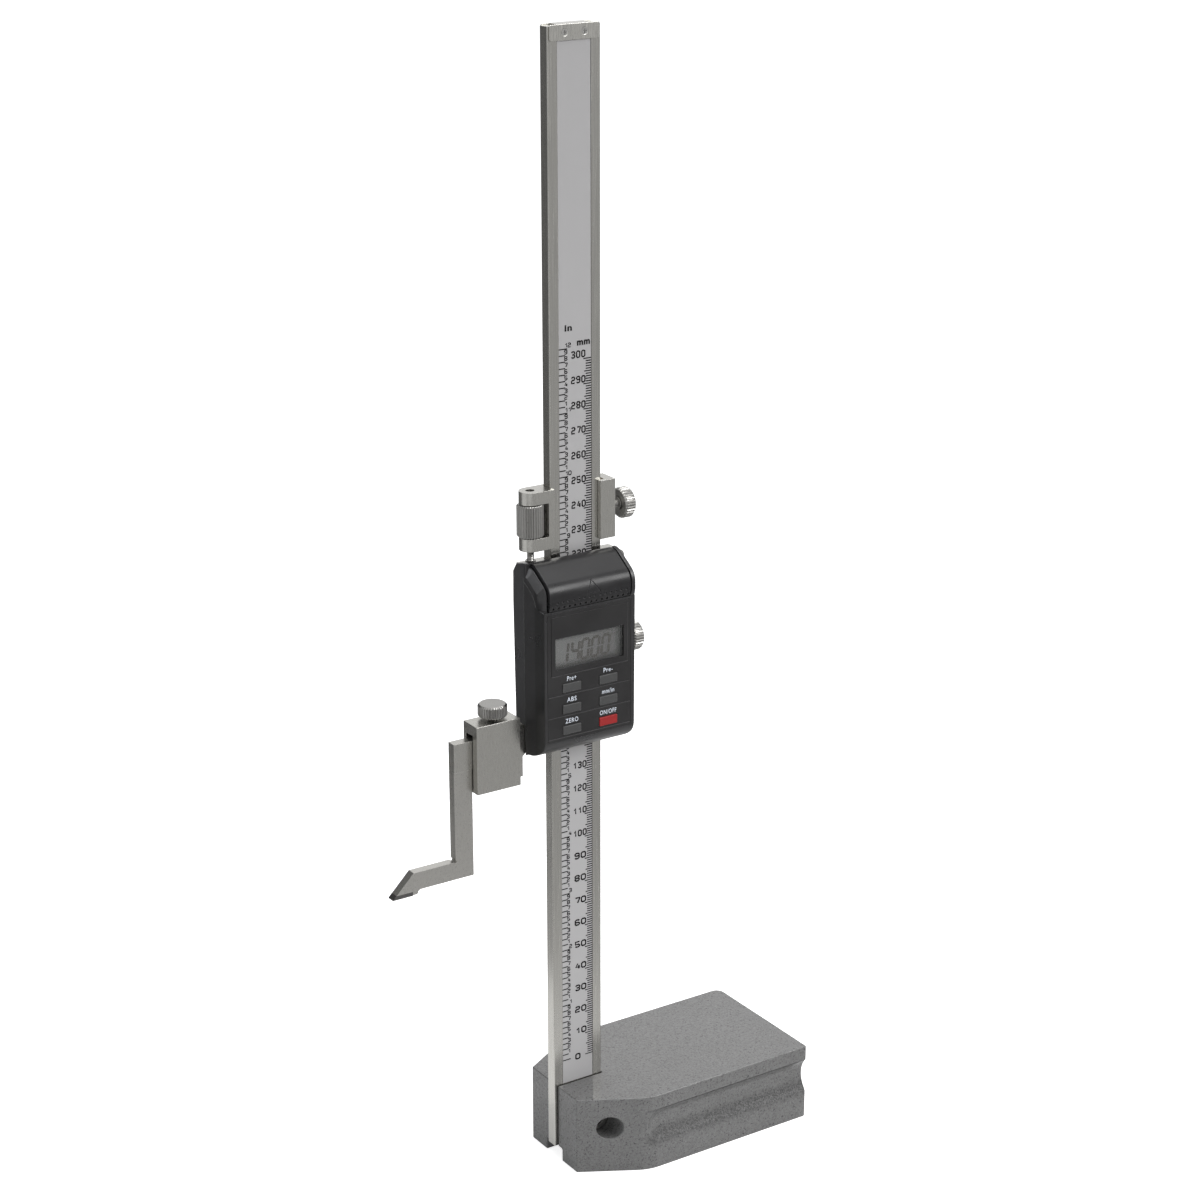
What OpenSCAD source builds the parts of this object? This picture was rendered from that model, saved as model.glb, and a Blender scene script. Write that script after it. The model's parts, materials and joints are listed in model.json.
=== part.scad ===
// Digital height gauge: a column with a printed scale on a cast foot, a sliding
// display head with a clamped scriber, and a fine adjusting carriage above it.
// X runs along the foot away from the scriber, Y to the back and Z up.
// The origin is on the plane of the foot's underside, below the middle of the beam.

/* [Foot] */
// Length of the foot
foot_l = 108.9; // [95:0.1:150]
// Width of the foot
foot_w = 65; // [55:0.5:90]
// Height of the foot
foot_h = 34.2; // [30:0.1:45]
// How far the nose of the foot stands in front of the beam's middle
foot_nose_x = 10.3; // [8:0.1:11]
// Width of the flat end of the nose
nose_w = 34.7; // [24:0.1:44]
// Length of the tapered nose
nose_l = 26.8; // [18:0.1:34]
// Radius of the rear corner at the far side
foot_corner_r = 4; // [2:0.5:10]
// Radius of the rear corner at the near side
foot_near_r = 1; // [0.5:0.5:10]
// Radius where the nose's taper meets the long sides
taper_r = 20; // [5:1:25]
// Height of the finger groove's mouth
groove_h = 15.4; // [10:0.1:16]
// Depth of the finger groove
groove_d = 3.3; // [2:0.1:5]
// Height of the finger groove's middle
groove_z = 20.1; // [18:0.1:21]
// Width of the relief along the underside
relief_w = 11.7; // [8:0.1:20]
// Height of the relief along the underside
relief_h = 5.6; // [3:0.1:5.7]

/* [Beam] */
// Width of the beam
beam_w = 23.5; // [20:0.1:25]
// Thickness of the beam
beam_t = 5.2; // [4:0.1:5.6]
// Height of the beam's lower end above the underside
beam_z = 6; // [5.9:0.1:8]
// Height of the beam's top above the underside
beam_top = 471.4; // [465:0.1:600]
// Chamfer along the beam's edges
beam_edge = 0.3; // [0.1:0.1:0.6]
// Width of the scale strip
strip_w = 14.9; // [10:0.1:16]
// Thickness of the scale strip
strip_t = 0.3; // [0.2:0.05:0.5]
// Diameter of the socket screw that clamps the beam in the foot
clamp_screw_d = 6; // [5:0.5:6]
// Diameter of the counterbore for that screw
clamp_bore_d = 10; // [9.8:0.1:10.6]
// Distance of that screw from the beam's middle
clamp_screw_x = 2; // [0:0.1:4]
// Height of that screw above the underside
clamp_screw_z = 20.5; // [19:0.1:24]

/* [End stop] */
// Width of the end stop's plates
stop_w = 22.2; // [18:0.1:23]
// Height of the end stop
stop_h = 6; // [5:0.1:9]
// Sheet thickness of the end stop
stop_t = 0.6; // [0.4:0.1:1]
// Width of the strap over the beam's end
strap_w = 14.8; // [10:0.1:18]
// Distance between the end stop's two screws
stop_pitch = 8.8; // [7:0.1:11]

/* [Reading] */
// Height of the scriber's measuring face above the underside
reading = 140; // [60:1:240]

/* [Carriage] */
// Height of the carriage
carriage_h = 24; // [20:0.1:30]
// Thickness of the carriage and of the slider frame
frame_t = 9; // [8.6:0.1:10]
// Right side of the carriage
carriage_right = 17.2; // [16.5:0.1:20]
// Gap between the slider's top and the carriage
carriage_gap = 5.7; // [5.5:0.1:10]
// Height of each lug of the fork
lug_h = 5.2; // [4:0.1:6]
// Distance from the beam's middle to the fine adjusting screw
fine_x = 19.6; // [19.5:0.1:20]
// Wall between the fork's gap and the beam
fork_web = 2; // [1.4:0.1:2]
// How far the left lip reaches over the beam's front
lip_left = 0.65; // [0.4:0.05:2]
// How far the right lip reaches over the beam's front
lip_right = 1.55; // [1:0.05:1.7]
// Thickness of the gib strips
gib_t = 1.2; // [0.8:0.1:1.5]

/* [Knurled screws] */
// Diameter of the fine adjusting nut
nut_d = 10.8; // [9:0.1:10.8]
// Diameter of the fine adjusting screw
fine_d = 2.9; // [2.5:0.1:3]
// Diameter of the fine adjusting screw's collar
collar_d = 4.2; // [3.6:0.1:5]
// Height of the fine adjusting screw's collar
collar_h = 1.4; // [1:0.1:1.6]
// Diameter of the two lock screws' heads
lock_head_d = 12.4; // [10:0.1:14]
// Thickness of the two lock screws' heads
lock_head_t = 4.9; // [4:0.1:6]
// Diameter of the two lock screws' threads
lock_d = 2.9; // [2.5:0.1:3.5]
// Distance between a lock screw's head and its frame
lock_stand = 4.2; // [3:0.1:6]
// Chamfer on the knurled heads
head_edge = 0.7; // [0.3:0.1:1]

/* [Slider] */
// Height of the slider frame
slider_h = 76; // [74:0.5:90]
// Left side of the slider frame
slider_left = 23.4; // [23.2:0.1:25]
// Right side of the slider frame
slider_right = 21.5; // [19:0.1:24]
// Radius of the slider frame's right corners
slider_r = 2.5; // [1:0.5:4]
// Distance between the two gib screws
gib_screw_pitch = 56; // [54:1:60]

/* [Jaw, clamp and scriber] */
// Distance from the beam's middle to the jaw's end
jaw_end = 58.2; // [56:0.1:66]
// Height of the jaw
jaw_h = 12.1; // [10:0.1:14]
// Thickness of the jaw
jaw_t = 4.4; // [4:0.1:4.6]
// Height from the measuring face up to the jaw's underside
scriber_h = 47.4; // [40:0.1:60]
// Thickness of the scriber
scriber_t = 4; // [3:0.1:4.2]
// Width of the scriber's leg
leg_w = 8.3; // [7:0.1:9]
// Height of the scriber's shank
shank_h = 8.3; // [7:0.1:9]
// Height of the scriber's nose over its measuring face
nose_h = 9.6; // [8:0.1:12]
// Reach of the measuring point from the leg's outer side
nose_reach = 28.7; // [20:0.1:36]
// Length of the hard metal tip
tip_l = 9.1; // [6:0.1:10]
// Height of the hard metal tip
tip_h = 1.7; // [1:0.1:2.4]
// Length of the clamp
clamp_l = 20; // [16:0.1:22]
// Height of the clamp
clamp_h = 28.5; // [27:0.1:32]
// Thickness of the clamp's top wall
clamp_top = 4.4; // [3:0.1:5]
// Thickness of the clamp's front wall
clamp_front = 3.4; // [2:0.1:4]
// Thickness of the clamp's back wall
clamp_back = 1.8; // [1.4:0.1:3]
// Diameter of the clamp screw's head
clamp_head_d = 11.8; // [9:0.1:13]
// Thickness of the clamp screw's head
clamp_head_t = 5.2; // [4:0.1:6]
// Diameter of the clamp screw's thread
clamp_thread_d = 3.9; // [3:0.1:4.2]

/* [Display housing] */
// Width of the housing
house_w = 42.2; // [42:0.1:46]
// Distance of the housing's middle to the left of the beam's middle
house_shift = 4.5; // [4.4:0.1:5]
// Depth of the housing in front of the slider frame
house_d = 14.6; // [14.2:0.1:18]
// Height of the battery lid
lid_h = 16.8; // [16.6:0.1:18]
// How far the housing reaches over and under the slider frame
house_over = 2.4; // [2:0.1:3]
// Thickness of the housing's side walls
house_wall = 2; // [1.4:0.1:2]
// Thickness of the housing's front wall
front_wall = 1.4; // [1:0.1:2]
// Thickness of the housing's back plate
back_t = 1.5; // [1:0.1:2]
// Width of the left cheek's bevel
cheek_bevel = 1.5; // [0.8:0.1:1.8]
// Thickness of the battery lid
lid_t = 1.3; // [0.9:0.1:1.6]
// How far the battery lid stands proud of the front
lid_proud = 0.9; // [0.5:0.1:1.2]

/* [Display and keys] */
// Width of the display window
window_w = 31.9; // [24:0.1:33]
// Height of the display window
window_h = 12.9; // [9:0.1:14]
// Height of the window's middle over the housing's lowest edge
window_z = 45.7; // [44:0.1:48]
// Thickness of the front panel
panel_t = 0.6; // [0.4:0.1:1]
// Width of a key
key_w = 8.4; // [6:0.1:10]
// Height of a key
key_h = 3.65; // [3:0.05:5]
// Distance between the two columns of keys
key_pitch_x = 17.1; // [14:0.1:20]
// Distance between the rows of keys
key_pitch_z = 8.85; // [7:0.05:9.5]
// Height of the lowest keys' middle over the housing's lowest edge
key_z = 13.5; // [12:0.1:15]
// Travel of a key
key_travel = 0.5; // [0.3:0.05:0.6]
// How far a key stands proud of the panel
key_proud = 0.4; // [0.2:0.05:0.8]

/* [Electronics] */
// Diameter of the button cell
cell_d = 11.6; // [9.5:0.1:11.6]
// Thickness of the button cell
cell_t = 5.4; // [3:0.1:5.4]
// Thickness of the circuit boards
board_t = 1.2; // [0.8:0.1:1.6]
// Thickness of the display glass
glass_t = 2.6; // [2:0.1:2.8]

/* [Clearances] */
// Clearance of a sliding or turning fit, on each side
run_fit = 0.05; // [0.03:0.01:0.1]
// Gap between plates and covers that only lie beside each other
seat_gap = 0.1; // [0.05:0.01:0.15]
// Gap beside pieces that pass each other freely
free_gap = 0.3; // [0.2:0.05:0.4]

/* [Hidden] */
$fn = 64;
far = 300;
hair = 0.01;

steel = [0.66, 0.66, 0.64];
dark_steel = [0.45, 0.45, 0.44];
casting = [0.55, 0.55, 0.55];
black_plastic = [0.17, 0.17, 0.18];
key_grey = [0.30, 0.30, 0.31];

// Beam, foot and end stop
beam_front = -beam_t / 2;
beam_back = beam_t / 2;
foot_left = -foot_nose_x;
foot_right = foot_left + foot_l;
taper_end = foot_left + nose_l;
slot_w = beam_t + 2 * free_gap;
clamp_seat_y = -beam_t / 2 - 6.4;
clamp_head_h = 6;
clamp_thread_l = 11;
socket_af = 5;
strip_bottom = foot_h + free_gap;
strip_top = beam_top + stop_t - stop_h;
stop_screw_z = beam_top + stop_t - stop_h / 2;
stop_screw_d = 1.6;
stop_screw_head = 2.6;
stop_screw_l = 3.4;

// Heights of what slides, from the reading up
jaw_z = reading + scriber_h;
jaw_root_rise = 2.6;
slider_z = jaw_z + jaw_root_rise;
slider_top = slider_z + slider_h;
carriage_z = slider_top + carriage_gap;
carriage_top = carriage_z + carriage_h;
lock_z = carriage_z + carriage_h / 2;
slider_lock_z = slider_z + slider_h / 2 - 1;

// Sections of the two frames, seen from above
frame_front = beam_front - 2.2;
frame_back = frame_front + frame_t;
frame_mid = (frame_front + frame_back) / 2;
bed = 2 * run_fit;
channel_left = -beam_w / 2 - run_fit;
gib_x = beam_w / 2 + run_fit;
channel_right = gib_x + gib_t + run_fit;
lip_left_x = -beam_w / 2 + lip_left;
lip_right_x = beam_w / 2 - lip_right;
lug_r = frame_t / 2;
fork_x = channel_left - fork_web;
nut_h = carriage_h - 2 * lug_h - 2 * free_gap;
gib_y = beam_t - 4 * run_fit;

// Fine adjusting screw
fine_depth = 8.5;
fine_rise = 26;

// Jaw, clamp and scriber, seen from the front
jaw_front = frame_front + 0.4;
jaw_back = jaw_front + jaw_t;
jaw_relief = 1.5;
jaw_relief_x = -26.8;
scriber_front = jaw_front + 0.2;
leg_left = -jaw_end - 0.1;
leg_right = leg_left + leg_w;
shank_right = leg_right + 23.5;
clamp_x = leg_right + seat_gap;
clamp_window_front = jaw_front - free_gap;
clamp_window_back = jaw_back + free_gap;
clamp_floor = jaw_z - shank_h - seat_gap;
clamp_bottom = clamp_floor - 1.5;
clamp_roof = clamp_bottom + clamp_h;
clamp_window_top = clamp_roof - clamp_top;
clamp_axis_x = clamp_x + 10.8;
clamp_axis_y = (jaw_front + jaw_back) / 2;
clamp_head_z = clamp_roof + 1.1;
nose_left = leg_left - nose_reach;
nose_slope = 1;
pad_l = tip_l + 2;
pad_lift = 0.2;
underside_lift = 2;

// Housing, seen from the side and from the front
house_x0 = -house_shift - house_w / 2;
house_x1 = -house_shift + house_w / 2;
bay_x0 = house_x0 + house_wall;
bay_x1 = house_x1 - house_wall;
house_front = frame_front - house_d;
house_z = slider_z - house_over + 0.4;
plate_front = frame_front - back_t;
skin = house_front + panel_t;
inner_front = skin + front_wall;
arch_top = slider_top + house_over;
bay_z = arch_top - lid_h;
arch_face = house_front - lid_proud;
arch_r = 6.9;
ridge_r = 7.9;
ridge_y = plate_front;
arch_slope = 33.3;
floor_t = 1.4;
lens_t = 1;
lens_edge = 1;

ridge_z = arch_top - ridge_r;
flat_y = ridge_y - ridge_r * sin(arch_slope);
flat_z = ridge_z + ridge_r * cos(arch_slope);
low_y = arch_face + arch_r;
low_z = flat_z - (flat_y - low_y + arch_r * sin(arch_slope)) * tan(arch_slope)
        - arch_r * cos(arch_slope);
band_h = 2.9;
band_d = 1;
left_cheek = [5.6, 1.7];
right_cheek = [0.3, -0.3];

// Boards, glass and keys behind the front wall
glass_front = inner_front + seat_gap;
glass_back = glass_front + glass_t;
strip_gap = 1.5;
board_front = glass_back + strip_gap;
board_back = board_front + board_t;
key_flange = 0.8;
key_flange_edge = 0.5;
key_flange_y = inner_front + seat_gap;
dome_front = board_front - 1.2;
mat_t = 0.8;
key_cols = [-house_shift - key_pitch_x / 2, -house_shift + key_pitch_x / 2];
key_rows = [key_z, key_z + key_pitch_z, key_z + 2 * key_pitch_z];
window_mid = house_z + window_z;
glass_w = window_w + 2.6;
glass_h = window_h + 4.6;
sensor_t = 1.8;
sensor_end = 14;
bezel_half = 18;
bezel_drop = 2.2;
bezel_low = 9.1;
header_w = 10;
header_h = 2.5;
header_z = house_z + 27;
boss_left = bay_x0 + 2.4;
boss_right = bay_x1 + 0.4;
boss_d = 5.2;
boss_rise = 18;
boss_drop = 4.1;
boss_zs = [house_z + boss_rise, bay_z - boss_drop];
house_screw_d = 1.6;
house_screw_head = 3;
house_screw_seat = frame_front + 2.5;
board_screw_d = 1.2;
post_rise = 16.6;
post_mid = 32.5;
post_drop = 5.7;
post_spots = [[-house_shift, bay_z - house_z - post_drop], [-house_shift, post_rise],
              [-house_shift, post_mid]];

// Button cell
cell_y = plate_front - 0.9 - cell_t;
cell_z = bay_z + 0.6 + cell_d / 2;

// A block from one corner to the other
module block(low, high) {
    translate(low)
        cube(high - low);
}

// A solid whose outline lies in X and Z, from one Y to the next
module front_outline(y0, y1) {
    translate([0, y1, 0])
        rotate([90, 0, 0])
            linear_extrude(y1 - y0)
                children();
}

// A solid whose outline lies in Y and Z, from one X to the next
module side_outline(x0, x1) {
    translate([x0, 0, 0])
        rotate([90, 0, 90])
            linear_extrude(x1 - x0)
                children();
}

// A round bar along X, Y or Z
module bar_x(x0, x1, y, z, d) {
    translate([x0, y, z])
        rotate([0, 90, 0])
            cylinder(d = d, h = x1 - x0);
}

module bar_y(y0, y1, x, z, d) {
    translate([x, y1, z])
        rotate([90, 0, 0])
            cylinder(d = d, h = y1 - y0);
}

module bar_z(z0, z1, x, y, d) {
    translate([x, y, z0])
        cylinder(d = d, h = z1 - z0);
}

// A turned head about +Z with both edges chamfered
module turned_head(d, t, edge) {
    rotate_extrude()
        polygon([[0, 0], [d / 2 - edge, 0], [d / 2, edge], [d / 2, t - edge],
                 [d / 2 - edge, t], [0, t]]);
}

// A rectangle whose four corners are round
module round_rect(x0, x1, y0, y1, r) {
    translate([x0 + r, y0])
        square([x1 - x0 - 2 * r, y1 - y0]);
    translate([x0, y0 + r])
        square([x1 - x0, y1 - y0 - 2 * r]);
    for (x = [x0 + r, x1 - r])
        for (y = [y0 + r, y1 - r])
            translate([x, y])
                circle(r);
}

// Foot: a cast block with a tapered nose, a slot for the beam and finger grooves
module foot_plan() {
    near_x0 = foot_right - foot_near_r;
    near_y0 = foot_near_r - foot_w / 2;
    far_x0 = foot_right - foot_corner_r;
    far_y0 = foot_w / 2 - foot_corner_r;
    turn = atan2(foot_w / 2 - nose_w / 2, nose_l);
    reach = taper_r * tan(turn / 2);
    near_x = taper_end - reach * cos(turn);
    near_y = foot_w / 2 - reach * sin(turn);
    polygon([[foot_left, -nose_w / 2], [near_x, -near_y], [taper_end + reach, -foot_w / 2],
             [near_x0, -foot_w / 2], [near_x0, near_y0], [foot_right, near_y0],
             [foot_right, far_y0], [far_x0, far_y0], [far_x0, foot_w / 2],
             [taper_end + reach, foot_w / 2], [near_x, near_y], [foot_left, nose_w / 2]]);
    translate([near_x0, near_y0])
        circle(foot_near_r);
    translate([far_x0, far_y0])
        circle(foot_corner_r);
    for (side = [-1, 1])
        translate([taper_end + reach, side * (foot_w / 2 - taper_r)])
            circle(taper_r);
}

module finger_groove() {
    groove_r = groove_h * groove_h / (8 * groove_d) + groove_d / 2;
    groove_y = foot_w / 2 - groove_d + groove_r;
    start_x = taper_end + 6;
    for (side = [-1, 1]) {
        bar_x(start_x, far, side * groove_y, groove_z, 2 * groove_r);
        translate([start_x, side * groove_y, groove_z])
            sphere(groove_r);
    }
}

module base() {
    color(casting)
        difference() {
            linear_extrude(foot_h)
                foot_plan();
            finger_groove();
            block([-far, -relief_w / 2, -1], [far, relief_w / 2, relief_h]);
            block([-far, -slot_w / 2, -1], [beam_w / 2 + free_gap, slot_w / 2, far]);
            bar_y(-far, clamp_seat_y, clamp_screw_x, clamp_screw_z, clamp_bore_d);
            bar_y(clamp_seat_y - 1, 0, clamp_screw_x, clamp_screw_z, clamp_screw_d + 2 * free_gap);
            bar_y(0, beam_back + clamp_thread_l + 2, clamp_screw_x, clamp_screw_z,
                  clamp_screw_d + 2 * run_fit);
        }
}

module beam() {
    color(steel)
        difference() {
            translate([0, 0, beam_z])
                linear_extrude(beam_top - beam_z)
                    polygon([[-beam_w / 2 + beam_edge, beam_front],
                             [beam_w / 2 - beam_edge, beam_front],
                             [beam_w / 2, beam_front + beam_edge],
                             [beam_w / 2, beam_back - beam_edge],
                             [beam_w / 2 - beam_edge, beam_back],
                             [-beam_w / 2 + beam_edge, beam_back],
                             [-beam_w / 2, beam_back - beam_edge],
                             [-beam_w / 2, beam_front + beam_edge]]);
            block([-strip_w / 2, beam_front - 1, strip_bottom],
                  [strip_w / 2, beam_front + strip_t, strip_top]);
            bar_y(-far, far, clamp_screw_x, clamp_screw_z, clamp_screw_d + 2 * free_gap);
            for (x = [-stop_pitch / 2, stop_pitch / 2])
                bar_y(-far, beam_front + stop_screw_l, x, stop_screw_z,
                      stop_screw_d + 2 * run_fit);
        }
}

module scale_strip() {
    color([0.72, 0.72, 0.72])
        block([-strip_w / 2, beam_front, strip_bottom],
              [strip_w / 2, beam_front + strip_t, strip_top]);
}

// End stop: a folded cap over the beam's end, held from the front
module stop_plate() {
    round_rect(-stop_w / 2, stop_w / 2, strip_top, beam_top + stop_t, 1);
}

module end_stop() {
    color(steel)
        difference() {
            union() {
                front_outline(beam_front - stop_t, beam_front)
                    stop_plate();
                front_outline(beam_back, beam_back + stop_t)
                    stop_plate();
                block([-strap_w / 2, beam_front - stop_t / 2, beam_top],
                      [strap_w / 2, beam_back + stop_t / 2, beam_top + stop_t]);
            }
            for (x = [-stop_pitch / 2, stop_pitch / 2])
                translate([x, beam_front - stop_t, stop_screw_z])
                    rotate([-90, 0, 0])
                        cylinder(d1 = stop_screw_head + 2 * run_fit,
                                 d2 = stop_screw_d + 2 * run_fit, h = stop_t);
        }
}

module end_stop_screws() {
    color(dark_steel)
        for (x = [-stop_pitch / 2, stop_pitch / 2])
            translate([x, beam_front - stop_t, stop_screw_z])
                rotate([-90, 0, 0])
                    difference() {
                        union() {
                            cylinder(d1 = stop_screw_head, d2 = stop_screw_d, h = stop_t);
                            cylinder(d = stop_screw_d, h = stop_screw_l);
                        }
                        for (turn = [0, 90])
                            rotate([0, 0, turn])
                                translate([-0.8, -0.15, -1])
                                    cube([1.6, 0.3, 1.35]);
                    }
}

module beam_clamp_screw() {
    color(dark_steel)
        difference() {
            union() {
                bar_y(clamp_seat_y - clamp_head_h, clamp_seat_y, clamp_screw_x, clamp_screw_z,
                      clamp_bore_d - 2 * free_gap);
                bar_y(clamp_seat_y - 1, beam_back + clamp_thread_l, clamp_screw_x, clamp_screw_z,
                      clamp_screw_d);
            }
            translate([clamp_screw_x, clamp_seat_y - clamp_head_h + 3.5, clamp_screw_z])
                rotate([90, 0, 0])
                    cylinder(d = socket_af / cos(30), h = 10, $fn = 6);
        }
}

// Plan of a frame that runs on the beam: the channel with its two front lips
module channel_plan() {
    translate([channel_left, beam_front - bed])
        square([channel_right - channel_left, beam_t + 2 * bed]);
    translate([lip_left_x, -far])
        square([lip_right_x - lip_left_x, far]);
}

module lock_hole(z) {
    bar_x(channel_right - 1, far, frame_mid, z, lock_d + 2 * run_fit);
}

// Carriage: the fork for the fine adjusting nut on the left, the lock on the right
module carriage() {
    color(steel)
        difference() {
            translate([0, 0, carriage_z])
                linear_extrude(carriage_h)
                    difference() {
                        union() {
                            translate([-fine_x, frame_front])
                                square([carriage_right + fine_x, frame_t]);
                            translate([-fine_x, frame_mid])
                                circle(lug_r);
                        }
                        channel_plan();
                    }
            block([-far, -far, carriage_z + lug_h], [fork_x, far, carriage_top - lug_h]);
            bar_z(carriage_z - 1, carriage_top + 1, -fine_x, frame_mid, fine_d + 2 * free_gap);
            lock_hole(lock_z);
        }
}

module gib(z0, z1) {
    block([gib_x, -gib_y / 2, z0], [gib_x + gib_t, gib_y / 2, z1]);
}

module carriage_gib() {
    color("darkgoldenrod")
        gib(carriage_z + 1, carriage_top - 1);
}

// A lock screw: knurled head, neck and a thread that reaches the gib
module lock_screw(side_x, z) {
    head_x = side_x + lock_stand;
    color(steel) {
        translate([head_x, frame_mid, z])
            rotate([0, 90, 0])
                turned_head(lock_head_d, lock_head_t, head_edge);
        bar_x(gib_x + gib_t + run_fit, head_x + 1, frame_mid, z, lock_d);
        bar_x(head_x - 0.8, head_x + 1, frame_mid, z, lock_d + 2.4);
    }
}

module carriage_lock_screw() {
    lock_screw(carriage_right, lock_z);
}

module slider_lock_screw() {
    lock_screw(slider_right, slider_lock_z);
}

module fine_adjust_nut() {
    color(steel)
        translate([-fine_x, frame_mid, carriage_z + lug_h + free_gap])
            difference() {
                turned_head(nut_d, nut_h, head_edge);
                translate([0, 0, -1])
                    cylinder(d = fine_d + 2 * run_fit, h = nut_h + 2);
            }
}

module fine_adjust_screw() {
    color(dark_steel) {
        bar_z(slider_top - fine_depth, slider_top + fine_rise, -fine_x, frame_mid, fine_d);
        bar_z(slider_top, slider_top + collar_h, -fine_x, frame_mid, collar_d);
    }
}

// Slider frame: the channel block with the long measuring jaw on its left
module slider_front_shape() {
    union() {
        translate([-slider_left, slider_z])
            square([slider_right + slider_left - slider_r, slider_h]);
        translate([0, slider_z + slider_r])
            square([slider_right, slider_h - 2 * slider_r]);
        for (z = [slider_z + slider_r, slider_top - slider_r])
            translate([slider_right - slider_r, z])
                circle(slider_r);
    }
}

module slider_frame() {
    gib_screws_z = [slider_lock_z - gib_screw_pitch / 2, slider_lock_z + gib_screw_pitch / 2];
    color(steel)
        difference() {
            union() {
                front_outline(frame_front, frame_back)
                    slider_front_shape();
                front_outline(jaw_front, jaw_back)
                    polygon([[-jaw_end, jaw_z], [jaw_relief_x, jaw_z],
                             [jaw_relief_x + jaw_relief, jaw_z + jaw_relief],
                             [-slider_left + 1, jaw_z + jaw_relief + 2],
                             [-slider_left + 1, jaw_z + jaw_h], [-jaw_end, jaw_z + jaw_h]]);
            }
            translate([0, 0, slider_z - 1])
                linear_extrude(slider_h + 2)
                    channel_plan();
            bar_z(slider_top - fine_depth - 1, slider_top + 1, -fine_x, frame_mid,
                  fine_d + 2 * run_fit);
            lock_hole(slider_lock_z);
            for (z = gib_screws_z)
                lock_hole(z);
            for (x = [boss_left, boss_right])
                for (z = boss_zs) {
                    bar_y(frame_front - 1, frame_back, x, z, house_screw_d + 2 * free_gap);
                    bar_y(house_screw_seat, frame_back + 1, x, z, house_screw_head + 2 * seat_gap);
                }
        }
}

module slider_gib() {
    color("darkgoldenrod")
        gib(slider_z + 1, slider_top - 1);
}

module gib_screws() {
    screw_l = 4.5;
    tip_x = gib_x + gib_t + run_fit;
    color(dark_steel)
        for (z = [slider_lock_z - gib_screw_pitch / 2, slider_lock_z + gib_screw_pitch / 2])
            difference() {
                bar_x(tip_x, tip_x + screw_l, frame_mid, z, lock_d);
                block([tip_x + screw_l - 0.9, -far, z - 0.25], [far, far, z + 0.25]);
            }
}

// Section of the domed top, drawn in by an inset: two arcs, a flat between them and
// a slanted band along the lower edge
module arch_section(inset) {
    rr = ridge_r - inset;
    ar = arch_r - inset;
    intersection() {
        union() {
            translate([ridge_y, ridge_z])
                circle(rr);
            translate([low_y, low_z])
                circle(ar);
            polygon([[ridge_y, ridge_z + rr],
                     [ridge_y - rr * sin(arch_slope), ridge_z + rr * cos(arch_slope)],
                     [low_y - ar * sin(arch_slope), low_z + ar * cos(arch_slope)],
                     [low_y - ar, low_z], [low_y - ar, bay_z + band_h],
                     [low_y - ar + band_d, bay_z], [ridge_y, bay_z]]);
        }
        translate([-far, bay_z])
            square([far + ridge_y, far]);
    }
}

// The same outline as points, for the bevelled cheeks
function arc_points(y, z, r, from, to, steps) =
    [for (i = [0:steps]) let (turn = from + (to - from) * i / steps)
        [y - r * sin(turn), z + r * cos(turn)]];

module cheek_section(inset) {
    face_y = low_y - arch_r + inset;
    foot_y = max(face_y, arch_face + band_d);
    polygon(concat(arc_points(ridge_y, ridge_z, ridge_r - inset, 0, arch_slope, 6),
                   arc_points(low_y, low_z, arch_r - inset, arch_slope, 90, 9),
                   [[face_y, bay_z + band_h], [foot_y, bay_z], [foot_y + 0.6, bay_z - 1],
                    [ridge_y, bay_z - 1]]));
}

// Section of the housing below the lid: a flat front and a keel that runs back and down
module front_section() {
    keel_r = 7;
    keel_long_r = 18;
    keel_turn = 50;
    keel_y = house_front + keel_r;
    keel_z = house_z + 10.5;
    long_y = keel_y + (keel_long_r - keel_r) * cos(keel_turn);
    long_z = keel_z + (keel_long_r - keel_r) * sin(keel_turn);
    polygon(concat([[frame_front, house_z]],
                   arc_points(long_y, long_z, keel_long_r, 175, 90 + keel_turn, 5),
                   arc_points(keel_y, keel_z, keel_r, 90 + keel_turn, 90, 7),
                   [[house_front, bay_z], [frame_front, bay_z]]));
}

// A cheek beside the lid, bevelled towards its outer side, with the insets at both sides
module cheek(outer_x, inner_x, insets, bevel) {
    inward = sign(inner_x - outer_x);
    outer_slice = outer_x + inward * hair;
    bevel_slice = outer_x + inward * bevel;
    hull() {
        side_outline(min(outer_x, outer_slice), max(outer_x, outer_slice))
            cheek_section(insets[0]);
        side_outline(min(bevel_slice, inner_x), max(bevel_slice, inner_x))
            cheek_section(insets[1]);
    }
}

// The left wall runs back over the side of the slider frame
module side_skirt() {
    side_outline(house_x0, bay_x0)
        polygon([[plate_front, bay_z - 4], [frame_front, jaw_z + jaw_h + 1.3],
                 [frame_back - 2.1, jaw_z + jaw_h + 1.3], [frame_back - 0.9, bay_z],
                 [frame_back - 1.1, slider_top - 2.6], [frame_back - 3.5, slider_top + 0.8],
                 [frame_front + 0.9, slider_top + 2.1], [plate_front, slider_top + 2.3]]);
}

module key_openings(grow, y0, y1) {
    for (x = key_cols)
        for (z = key_rows)
            block([x - key_w / 2 - grow, y0, house_z + z - key_h / 2 - grow],
                  [x + key_w / 2 + grow, y1, house_z + z + key_h / 2 + grow]);
}

module window_box(grow, y0, y1) {
    block([-house_shift - window_w / 2 - grow, y0, window_mid - window_h / 2 - grow],
          [-house_shift + window_w / 2 + grow, y1, window_mid + window_h / 2 + grow]);
}

module panel_shape(grow) {
    round_rect(house_x0 + 1.4 - grow, house_x1 - 1.8 + grow,
               house_z + 9.2 - grow, bay_z - 1 + grow, 0.8);
}

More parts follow.
